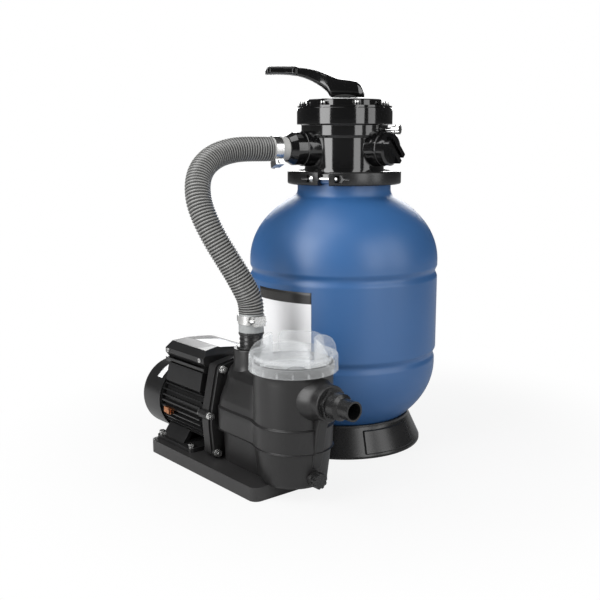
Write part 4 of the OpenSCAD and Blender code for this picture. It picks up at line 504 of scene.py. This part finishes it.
def makeValve():
    # the bowl's outline is turned, and each port's outline is turned and laid along its own direction
    v = valve
    low, step = v["low"], v["step"]
    line = roundedLine([(0, v["flangeLow"]), (v["flange"], v["flangeLow"]), (v["flange"], 433.5),
                        (low + 1.5, 434.5), (low, 440), (low, step), (low + 2.2, step), (low + 2.6, step + 2),
                        (v["bowl"], step + 2.6), (v["bowl"], v["rimLow"]), (v["rim"], v["rimLow"]),
                        (v["rim"], v["top"]), (0, v["top"])],
                       (1, 1, 2, 3, 0.7, 0.4, 0.5, 1.2, 2.0, 1.0, 1.2), 7)
    sheets = [(turned(line, 192), False, True)]
    port, long, bore = v["port"], v["portLength"], v["portBore"]
    spout = turned(roundedLine([(0, 0), (port + 1.6, 0), (port + 0.2, 26), (port, long), (bore, long),
                                (bore, 30), (0, 30)], (1, 6, 1.4, 0.5, 0.5), 7), 96)
    for degrees in v["ports"]:
        start = aim(degrees) * (v["portReach"] - long) + [0, 0, v["portHeight"]]
        sheets.append((laid(spout, start, aim(degrees)), False, True))
    makePiece("valveBody", sheets, "valveBlack", "root", ["valve_body"], 30.0)


makeValve()
print("valve made")

# handle: a hub, a rising lever and a grip with a sunk strip on each side
handle = {"degrees": -132.0, "back": -30.0, "hub": 17.0, "lever": 9.6, "grip": 12.5, "sunk": 1.3,
          "slotHalf": 13.2, "slotWide": 9.7, "slotTop": 573.6, "around": 72,
          "topLine": [(-30, 555), (-28.5, 562), (-25, 568.5), (-20, 572.8), (-12, 575.0), (0, 576.4),
                      (11, 578), (20, 581.4), (30, 585.6), (40, 589.2), (50, 592.0), (60, 594.0), (74, 595.2),
                      (76, 597), (117, 597), (120, 596.0), (122.4, 593.4), (124, 589)],
          "lowLine": [(-30, 549.2), (22, 549.2), (24.5, 552), (27, 557.6), (35, 564.5), (45, 571),
                      (55, 576.2), (65, 580), (75, 582.6), (90, 584.4), (105, 584.9), (124, 584.6)]}


def softLine(x, line):
    # heights of a line at the places x, each the mean over a short stretch, so that corners are rounded
    line = np.array(line)
    return np.interp(x[:, None] + np.linspace(-1.2, 1.2, 7), line[:, 0], line[:, 1]).mean(1)


def makeHandle():
    # along the lever the section is a rounded box between a lower and an upper line: |y|^n + |z|^n = 1
    h = handle
    x = along([(h["back"], h["back"] + 3, 10), (-27, -14, 14), (-13.6, -12.8, 5), (-12, 12, 12),
               (12.8, 13.6, 5), (14, 30, 22), (30, 73, 30), (73, 77, 14), (77, 84, 12), (84, 114, 16),
               (114, 124, 26)])
    top, low = softLine(x, h["topLine"]), softLine(x, h["lowLine"])
    half = h["hub"] + (h["lever"] - h["hub"]) * ramp(x, 14, 52) + (h["grip"] - h["lever"]) * ramp(x, 74, 76.5)
    half *= (1 - 0.14 * (1 - ramp(x, -30, -18))) * (1 - 0.25 * ramp(x, 119, 124) ** 2)
    a = np.linspace(0, 2 * np.pi, h["around"], endpoint=False)
    n = np.where(x < 40, 3.6, 4.6)[:, None]
    cy = np.sign(np.cos(a)) * np.abs(np.cos(a)) ** (2 / n)
    cz = np.sign(np.sin(a)) * np.abs(np.sin(a)) ** (2 / n)
    y, z = half[:, None] * cy, (top + low)[:, None] / 2 + (top - low)[:, None] / 2 * cz
    strip = (ramp(x, 80, 81.4) * (1 - ramp(x, 115.4, 116.8)))[:, None] * (1 - ramp(np.abs(cz), 0.42, 0.62))
    y = y * (1 - h["sunk"] * strip / half[:, None])
    hollow = (np.abs(x) < h["slotHalf"])[:, None] & (np.abs(y) < h["slotWide"]) & (cz < 0)
    grid = np.stack([x[:, None] + 0 * y, y, np.where(hollow, h["slotTop"], z)], -1)
    sheets = [(spun(capped(grid), h["degrees"]), False, True)]
    makePiece("leverHandle", sheets, "valveBlack", "lever", ["handle"], 42.0)


makeHandle()
print("handle made")

# pump wet end: a strainer pot and the body that runs from it to the bracket
pump = {"y": -221.0, "potX": 142.5, "eyeX": 100.0, "backX": 15.0, "plateX": 6.2, "frontX": 122.5, "low": 20.2,
        "top": 188.0, "bodyTop": 166.2, "blend": 5.0, "seams": (70.4, 104.2), "ridge": 1.9, "band": 1.6,
        "pot": 56.2, "bore": 50.4, "lowBore": 42.5, "rest": 176.0, "floor": 30.0, "around": 288,
        "potLine": ((20, 24, 70, 104, 172, 176, 188), (44.6, 47, 52.4, 53.8, 55, 56.2, 56.2)),
        "halfLine": ((20, 70, 71, 98, 116, 150, 158, 163, 166),
                     (34, 36, 44.6, 45.4, 42.6, 34.6, 29, 18, 0.02)),
        "outletX": 46.5, "outlet": 26.0, "outletBore": 19.1, "outletTop": 190.0, "inletZ": 145.0,
        "inlet": 25.0, "inletBore": 16.6, "drainY": -225.0, "drainZ": 34.0, "drainFace": 194.5,
        "drainLength": 26.0, "rib": [(181, 47), (192.4, 47), (208, 124), (189, 124)],
        "plate": [(-38, 23), (38, 23), (44, 30), (48, 72), (48, 90), (34, 156), (31, 159), (0, 165),
                  (-31, 159), (-34, 156), (-48, 90), (-48, 72), (-44, 30)],
        "bolts": ((27, 154), (51.5, 88), (39, 29)), "boss": 6.5, "bossTop": 10.7}


def bendMore(a, b, k):
    # the larger of two lengths, with the corner between them rounded
    return 0.5 * (a + b + np.sqrt((a - b) ** 2 + k * k))


def slab(outline, span, edge, plane, middle):
    # an outline drawn out between two places, drawn in towards its centre by the edge's round at both ends
    outline = np.array(outline, float)
    seam = (outline[-1:] + outline[:1]) / 2
    ring = roundedLine(np.concatenate([seam, outline, seam]), 3.0, 5)[:-1]
    heart = ring.mean(0)
    size = np.abs(ring - heart).max()
    t = np.linspace(0, np.pi / 2, 5)
    inset = edge * (1 - np.cos(t))
    place = np.concatenate([[span[0]], span[0] + inset, span[1] - inset[::-1], [span[1]]])
    drawn = 1 - edge / size * (1 - np.sin(t))
    scale = np.concatenate([[0], drawn, drawn[::-1], [0]])
    flat = heart + (ring - heart)[None] * scale[:, None, None]
    d = np.broadcast_to(place[:, None], flat.shape[:2])
    if plane == "xz":
        return np.stack([flat[..., 0], middle + d, flat[..., 1]], -1)
    return np.stack([d, flat[..., 0], flat[..., 1]], -1)


def pumpWall():
    # seen from above, the wall is the larger of the body's rounded box and the pot's circle about the eye
    p = pump
    z = along([(p["low"], 24, 8), (24, 67, 14), (68, 73, 22), (74, 101, 12), (101.8, 106.8, 22),
               (108, 150, 26), (150, 166.5, 44), (167, 186, 14), (186, p["top"], 6)])[:, None]
    phi = np.linspace(0, 2 * np.pi, p["around"], endpoint=False)[None]
    c, s = np.cos(phi), np.sin(phi)
    proud = p["band"] * ramp(z, 69.6, 70.8) * (1 - ramp(z, 103.4, 104.6))
    proud = proud + sum(p["ridge"] * np.exp(-((z - seam) / 1.15) ** 4) for seam in p["seams"])
    pot = np.interp(z, *p["potLine"]) + proud
    half = np.where(z > 165.9, 0.02, np.interp(z, *p["halfLine"]) + proud)

    def box(back, half, n):
        ahead = np.where(c < 0, back, p["frontX"] - p["eyeX"])
        return (np.abs(c / ahead) ** n + np.abs(s / half) ** n) ** (-1 / n)

    body = np.maximum(box(p["eyeX"] - p["backX"], half, 8 - 4 * ramp(z, 108, 145)),
                      box(p["eyeX"] - p["plateX"], np.maximum(half - 14, 0.02), 6.0))
    off = p["potX"] - p["eyeX"]
    circle = off * c + np.sqrt(np.maximum(pot ** 2 - (off * s) ** 2, 1))
    below = ramp(p["bodyTop"] - z, 0, 0.6)
    r = bendMore(body, circle, p["blend"]) * below + circle * (1 - below)
    return np.stack([p["eyeX"] + r * c, p["y"] + r * s, z + 0 * r], -1)


def makePumpHousing():
    # the wall runs over the pot's rim into its bore, and the ports, the rib and the plate are set into it
    p = pump
    outer = pumpWall()
    turn = np.arctan2(outer[-1, :, 1] - p["y"], outer[-1, :, 0] - p["potX"])
    inside = roundedLine([(p["pot"], p["top"]), (p["bore"], p["top"]), (p["bore"], p["rest"]),
                          (p["lowBore"], p["rest"] - 0.5), (p["lowBore"], p["floor"]), (0, p["floor"])],
                         (0.6, 0.6, 0.6, 3.0))
    r, z = inside[:, :1], inside[:, 1:]
    inner = np.stack([p["potX"] + r * np.cos(turn), p["y"] + r * np.sin(turn), z + 0 * turn], -1)
    base = np.broadcast_to([p["eyeX"], p["y"], p["low"]], outer[:1].shape)
    wide, bore, top = p["outlet"], p["outletBore"], p["outletTop"]
    outlet = turned(roundedLine([(0, 130), (34, 130), (29, 152), (wide, 164), (wide, top), (bore, top),
                                 (bore, 172), (0, 172)], (1, 8, 8, 1.4, 0.8, 0.5), 8), 96)
    wide, bore = p["inlet"], p["inletBore"]
    inlet = turned(roundedLine([(0, 0), (36, 0), (32, 46), (wide + 1.5, 60), (wide, 66), (wide, 78.5),
                                (bore, 78.5), (bore, 58), (0, 58)], (1, 8, 7, 4, 1.5, 0.8, 0.5), 8), 96)
    long = p["drainLength"]
    drain = turned(roundedLine([(0, 0), (12, 0), (10, 12), (10, long), (7.2, long), (7.2, 16), (0, 16)],
                               (1, 3, 1.0, 0.5, 0.5)), 48)
    boss = turned(roundedLine([(0, p["plateX"]), (p["boss"], p["plateX"]), (p["boss"], p["bossTop"]),
                               (0, p["bossTop"])], 0.8), 40)
    grids = [np.concatenate([base, outer, inner]), outlet + [p["outletX"], p["y"], 0],
             laid(inlet, (p["potX"], p["y"], p["inletZ"]), (1, 0, 0)),
             laid(drain, (p["drainFace"] - long, p["drainY"], p["drainZ"]), (1, 0, 0)),
             slab(p["rib"], (-8, 8), 2.0, "xz", p["y"]),
             slab(np.array(p["plate"]) + [p["y"], 0], (p["plateX"], p["plateX"] + 5), 1.2, "yz", 0.0)]
    grids += [laid(boss, (0, p["y"] + side * y, z), (1, 0, 0)) for y, z in p["bolts"] for side in (-1, 1)]
    sheets = [(g, False, True) for g in grids]
    makePiece("pumpHousing", sheets, "pumpCharcoal", "root", ["pump_housing"], 34.0)


makePumpHousing()
print("pump housing made")

# strainer lid: a clear cap with rings on its deck, four upright grip wings and small lugs round its edge
lid = {"x": 142.5, "y": -221.0, "radius": 61.5, "low": 177.0, "rim": 200.0, "deck": 193.0, "deckRadius": 48.0,
       "under": 188.5, "inside": 57.2, "well": 54.5, "lines": (193.6, 186.2), "lineDepth": 0.9,
       "wingEnd": 60.0, "wingIn": 29.5, "wingTop": 224.0, "wingFoot": 191.5, "wingDegrees": 66.0,
       "wingMiddle": -51.0, "wall": 1.5, "bead": 1.9, "archPower": 3.0, "lugs": 18}


def lidWing():
    # shares t of an arch, half of |x / reach|^n + |z / tall|^n = 1, drawn on a wall that bends in towards the
    # middle, thick as a round bead at the arch's edge
    w = lid
    end = math.radians(w["wingDegrees"] / 2)
    x, y = w["wingEnd"] * math.cos(end), w["wingEnd"] * math.sin(end)
    bend = (y * y / (x - w["wingIn"]) + x - w["wingIn"]) / 2 - w["wall"]
    reach, tall = bend * math.asin(y / bend), w["wingTop"] - w["wingFoot"]
    a = np.linspace(np.pi, 0, 97)
    arch = np.stack([reach * np.sign(np.cos(a)) * np.abs(np.cos(a)) ** (2 / w["archPower"]),
                     tall * np.sin(a) ** (2 / w["archPower"])], -1)
    t = np.r_[np.linspace(0, 0.8, 9), np.linspace(0.83, 1, 22)]
    edge = (1 - t) * 30.0
    bead = np.sqrt(np.maximum(w["bead"] ** 2 - (edge - w["bead"]) ** 2, 0))
    half = np.maximum(w["wall"] * ramp(edge, 0.2, 1.5), bead)
    t, off = np.r_[t, t[::-1]], np.r_[-half, half[::-1]]
    closed = np.r_[0, np.ones(len(arch)), 0][:, None]
    arch = np.concatenate([arch[:1], arch, arch[-1:]])
    lean, rise = arch[:, :1] * t / bend, arch[:, 1:] * t
    r = bend + off * closed
    out = w["wingIn"] + w["wall"] + bend - r * np.cos(lean)
    return np.stack([out, r * np.sin(lean), w["wingFoot"] + rise], -1)


def makeLid():
    # the cap is one line from the deck's middle over the rim to the underside, turned
    w = lid
    r = along([(0.0, w["deckRadius"], 97)])
    rings = 0.55 * np.sin(r / w["deckRadius"] * np.pi * 8) ** 8 * ramp(r, 5, 9)
    deck = np.stack([r, w["deck"] + rings], -1)
    out = w["radius"]
    cuts = [(out - d, z + s) for z in w["lines"] for d, s in ((0, 0.8), (w["lineDepth"], 0), (0, -0.8))]
    edge = roundedLine([deck[-1], (w["well"], w["deck"]), (w["well"], w["rim"]), (out - 1, w["rim"]),
                        (out, w["rim"] - 2), *cuts, (out, w["low"]), (w["inside"], w["low"]),
                        (w["inside"], w["under"]), (0, w["under"])],
                       (2, 1, 1, 1.2, 0.4, 0.4, 0.4, 0.4, 0.4, 0.4, 1.0, 0.8, 1.5), 6)
    wing = lidWing()
    lug = slab([(-1.2, 178), (1.2, 178), (1.2, 184), (-1.2, 184)], (60.5, 62.4), 0.3, "yz", 0)
    grids = [turned(np.concatenate([deck[:-1], edge]), 144)]
    grids += [spun(wing, w["wingMiddle"] + 90 * k) for k in range(4)]
    grids += [spun(lug, 360 / w["lugs"] * k) for k in range(w["lugs"])]
    sheets = [(g + [w["x"], w["y"], 0], False, True) for g in grids]
    makePiece("strainerLid", sheets, "clearPlastic", "lid", ["strainer_lid"], 40.0)


makeLid()
print("lid made")

# bare films: the tank's label, the motor box's plate and the strip on the fan cover
films = {"tank": {"from": -100.5, "over": 40.0, "low": 162.0, "high": 263.0, "radius": 150.9},
         "box": {"x": (-86.0, -18.0), "y": (-10.0, 36.0), "ridge": -11.0, "top": 180.15, "fall": 6 / 53},
         "strip": {"x": (-146.0, -133.0), "angles": (38.0, 68.0), "radius": 55.1, "axisZ": 80.0},
         "pumpY": -221.0, "headFrom": 0.83}


def filmFinish(name, dark):
    # white film, with a dark head band where the label has one
    f = Finish(name, {})
    spot = f.node("UVMap", {"uv_map": "UVMap"})
    u = f.node("SeparateXYZ", {}, {"Vector": spot}, "X")
    v = f.node("SeparateXYZ", {}, {"Vector": spot}, "Y")
    grain = f.noise(900.0, 2.0)
    white, ink, head = (0.82, 0.82, 0.83), (0.022, 0.021, 0.020), films["headFrom"]
    stops = [(0.0, white), (1.0, (0.86, 0.86, 0.87))]
    if dark:
        stops = [(0.0, white), (head - 0.001, white), (head + 0.001, ink), (1.0, ink)]
    tint = f.node("ValToRGB", {"stops": stops}, {"Fac": v})
    rough = 0.30 + (grain - 0.5) * 0.15 + (u - 0.5) * 0.04
    return f.set({"Base Color": tint, "Roughness": rough, "Normal": f.bump(grain, 0.05, 0.0002)})


finishes["labelFilm"], finishes["plateFilm"] = filmFinish("labelFilm", True), filmFinish("plateFilm", False)


def makeFilm(name, surface, cols, rows, finish, thick, stands=()):
    # a patch over two shares u and v of a curved surface, with a little thickness
    u, v = np.meshgrid(np.linspace(0, 1, cols), np.linspace(0, 1, rows))
    sheets = [(surface(u, v), False, False)]
    piece = makePiece(name, sheets, finish, "root", stands, 60.0, np.stack([u, v], -1))
    solid = piece.modifiers.new("thickness", "SOLIDIFY")
    solid.thickness, solid.offset = thick / 1000, 0.0


def between(ends, share):
    return ends[0] + (ends[1] - ends[0]) * share


def tankSpot(u, v):
    t = films["tank"]
    a = np.radians(t["from"] + t["over"] * u)
    return np.stack([t["radius"] * np.cos(a), t["radius"] * np.sin(a), between((t["low"], t["high"]), v)], -1)


def boxSpot(u, v):
    b = films["box"]
    across = between(b["y"], v)
    height = b["top"] - (across - b["ridge"]) * b["fall"]
    return np.stack([between(b["x"], u), across + films["pumpY"], height], -1)


def stripSpot(u, v):
    s = films["strip"]
    a = np.radians(between(s["angles"], u))
    return np.stack([between(s["x"][::-1], v), films["pumpY"] - s["radius"] * np.cos(a),
                     s["axisZ"] + s["radius"] * np.sin(a)], -1)


makeFilm("tankLabel", tankSpot, 60, 24, "labelFilm", 0.3, ["tank_label"])
makeFilm("boxPlate", boxSpot, 12, 8, "plateFilm", 0.25)
makeFilm("coverStrip", stripSpot, 24, 4, "plateFilm", 0.2)
print("films made")

# pieces whose solid is already right: edges eased by the given number of millimetres, or only a finish
easedNodes = {
    "pumpCharcoal": {"motor_bracket": 1.2},
    "baseCharcoal": {"pump_base": 2.2},
    "motorBlack": {"motor_foot": 0.9, "motor_housing": 0.45, "fan_cover": 0.9, "terminal_box": 1.2,
                   "terminal_cover": 2.0, "cable_gland": 0.6},
    "footBlack": {"clamp_half_left": 1.0, "clamp_half_right": 1.0, "outlet_adapter": 0.5,
                  "inlet_adapter": 0.6, "pump_drain_plug": 0.8, "tank_drain_plug": 0.8},
    "valveBlack": {"valve_cover": 0.8, "port_cap": 1.0, "pump_port_adapter": 0.8, "return_adapter": 0.8},
    "brightSteel": {"bleed_screw": 0.3, "hose_clamp_bands": 0.15, "hose_clamp_screws": 0.3, "foot_bolts": 0.4,
                    "bracket_bolts": 0.4, "bracket_nuts": 0.4, "clamp_bolts": 0.3, "clamp_nuts": 0.3,
                    "cover_screws": 0.25, "terminal_screws": 0.25, "fan_cover_screws": 0.25,
                    "diverter_spring": 0.1},
    "lugCopper": {"bonding_lug": 0.5},
    "whitePlastic": {"strainer_basket": 0.3, "slip_washer": 0.3},
}
plainNodes = {
    "whitePlastic": ("standpipe", "lateral_hub", "laterals"),
    "footBlack": ("top_diffuser",),
    "sealRubber": ("tank_seal", "cover_seal", "seat_gasket", "shaft_seal", "lid_seal"),
    "pumpCharcoal": ("diverter", "impeller"),
    "brightSteel": ("handle_pin", "motor_shaft", "bearings"),
    "motorBlack": ("cooling_fan",),
    "coreIron": ("rotor_core", "stator"),
    "canAluminium": ("capacitor",),
}


def easedCopy(name, finish, width):
    # the node's triangles, doubles merged and flat neighbours joined, with a small round on every sharp edge
    work = bmesh.new()
    work.from_mesh(nodes[name].data)
    bmesh.ops.remove_doubles(work, verts=work.verts, dist=4e-6)
    bmesh.ops.dissolve_limit(work, angle_limit=math.radians(0.8), verts=work.verts, edges=work.edges)
    fresh = bpy.data.meshes.new(name + "Eased")
    work.to_mesh(fresh)
    work.free()
    for extra in [a.name for a in fresh.attributes if a.name == "custom_normal"]:
        fresh.attributes.remove(fresh.attributes[extra])
    fresh.shade_smooth()
    piece = enter(bpy.data.objects.new(name + "Eased", fresh), finish, bodyOf[name], [name])
    ease = piece.modifiers.new("ease", "BEVEL")
    ease.width, ease.segments = width / 1000, 2
    ease.limit_method, ease.angle_limit = "ANGLE", math.radians(32)
    ease.harden_normals = True
    ease.use_clamp_overlap = True


for finish, widths in easedNodes.items():
    for name, width in widths.items():
        easedCopy(name, finish, width)
for finish, names in plainNodes.items():
    for name in names:
        nodes[name].data.materials.clear()
        nodes[name].data.materials.append(finishes[finish].material)
# the spring gets a mesh of its own
spring = bpy.data.objects["diverter_springEased"]
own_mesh(spring)
print("solids finished")

# floor, light and background
studio = {"floor": 0.60, "side": 14.0, "drop": 0.0002, "glow": 0.87, "clearFrom": 0.30, "clearTo": 0.62,
          "ambient": 0.20, "mirrored": 0.06, "toward": (0.77, -0.638, 0.0), "left": (-0.638, -0.77, 0.0),
          "aim": (0, 0, 0.30),
          "boxes": [  # degrees left of the camera's line, distance, middle height, width, height, watts
              (50.0, 2.3, 1.0, 1.10, 2.4, 52.0), (-34.0, 2.4, 1.0, 0.90, 2.4, 25.0),
              (-64.0, 2.4, 1.0, 0.85, 2.4, 18.0), (183.0, 2.2, 0.95, 1.9, 0.7, 26.0)],
          "roof": {"place": (-0.2, -1.1, 2.0), "aim": (0.0, -0.15, 0.15), "wide": 1.6, "watts": 24.0}}


def seenDirectly(bench):
    through = bench.node("LightPath", out="Is Transmission Ray")
    return bench.node("LightPath", out="Is Camera Ray").larger(through)


def makeFloor():
    # the floor keeps the shadow near the object, and clears to white further out
    side, low = studio["side"], -studio["drop"]
    ground = bpy.data.meshes.new("floor")
    corners = [(-side, -side, low), (side, -side, low), (side, side, low), (-side, side, low)]
    ground.from_pydata(corners, [], [(0, 1, 2, 3)])
    floor = bpy.data.objects.new("floor", ground)
    bpy.context.scene.collection.objects.link(floor)
    paint = Finish("paleFloor", {"Base Color": (studio["floor"],) * 3 + (1,), "Roughness": 0.9,
                                 "Specular IOR Level": 0.0})
    seen = seenDirectly(paint)
    glow = paint.node("Emission", {}, {"Color": (1, 1, 1, 1), "Strength": 1.0})
    away = paint.node("VectorMath", {"operation": "LENGTH"}, {0: paint.place}, "Value")
    clear = paint.node("MapRange", {"interpolation_type": "SMOOTHSTEP"},
                       {"Value": away, "From Min": studio["clearFrom"], "From Max": studio["clearTo"],
                        "To Min": studio["glow"], "To Max": 1.0})
    matt = Wire(paint.tree, paint.shader.outputs[0])
    mixed = paint.node("MixShader", {}, {0: seen * clear, 1: matt, 2: glow})
    paint.feed(paint.tree.nodes["Material Output"], {"Surface": mixed})
    ground.materials.append(paint.material)


def makeAir():
    # white where it is seen directly, and dimmer as light and in mirrors
    world = bpy.data.worlds.new("studioAir")
    world.use_nodes = True
    bpy.context.scene.world = world
    air = Bench(world.node_tree)
    direct = seenDirectly(air)
    mirror = air.node("LightPath", out="Is Glossy Ray")
    dimmed = mirror * studio["mirrored"] + (1 - mirror) * studio["ambient"]
    strength = direct + (1 - direct) * dimmed
    air.feed(air.tree.nodes["Background"], {"Color": (1, 1, 1, 1), "Strength": strength})


def softBox(name, place, target, wide, tall, watts):
    lamp = bpy.data.lights.new(name, "AREA")
    lamp.shape, lamp.size, lamp.size_y, lamp.energy = "RECTANGLE", wide, tall, watts
    box = bpy.data.objects.new(name, lamp)
    box.location = place
    back = np.array(place) - np.array(target)
    box.rotation_euler = (math.acos(back[2] / np.linalg.norm(back)), 0.0, math.atan2(back[0], -back[1]))
    box.visible_camera = False
    bpy.context.scene.collection.objects.link(box)


makeFloor()
makeAir()
toward, left = np.array(studio["toward"]), np.array(studio["left"])
for k, (turn, away, high, wide, tall, watts) in enumerate(studio["boxes"]):
    across = toward * math.cos(math.radians(turn)) + left * math.sin(math.radians(turn))
    softBox("softBox%d" % k, across * away + [0, 0, high], studio["aim"], wide, tall, watts)
roof = studio["roof"]
softBox("roofBox", roof["place"], roof["aim"], roof["wide"], roof["wide"], roof["watts"])
print("studio made")
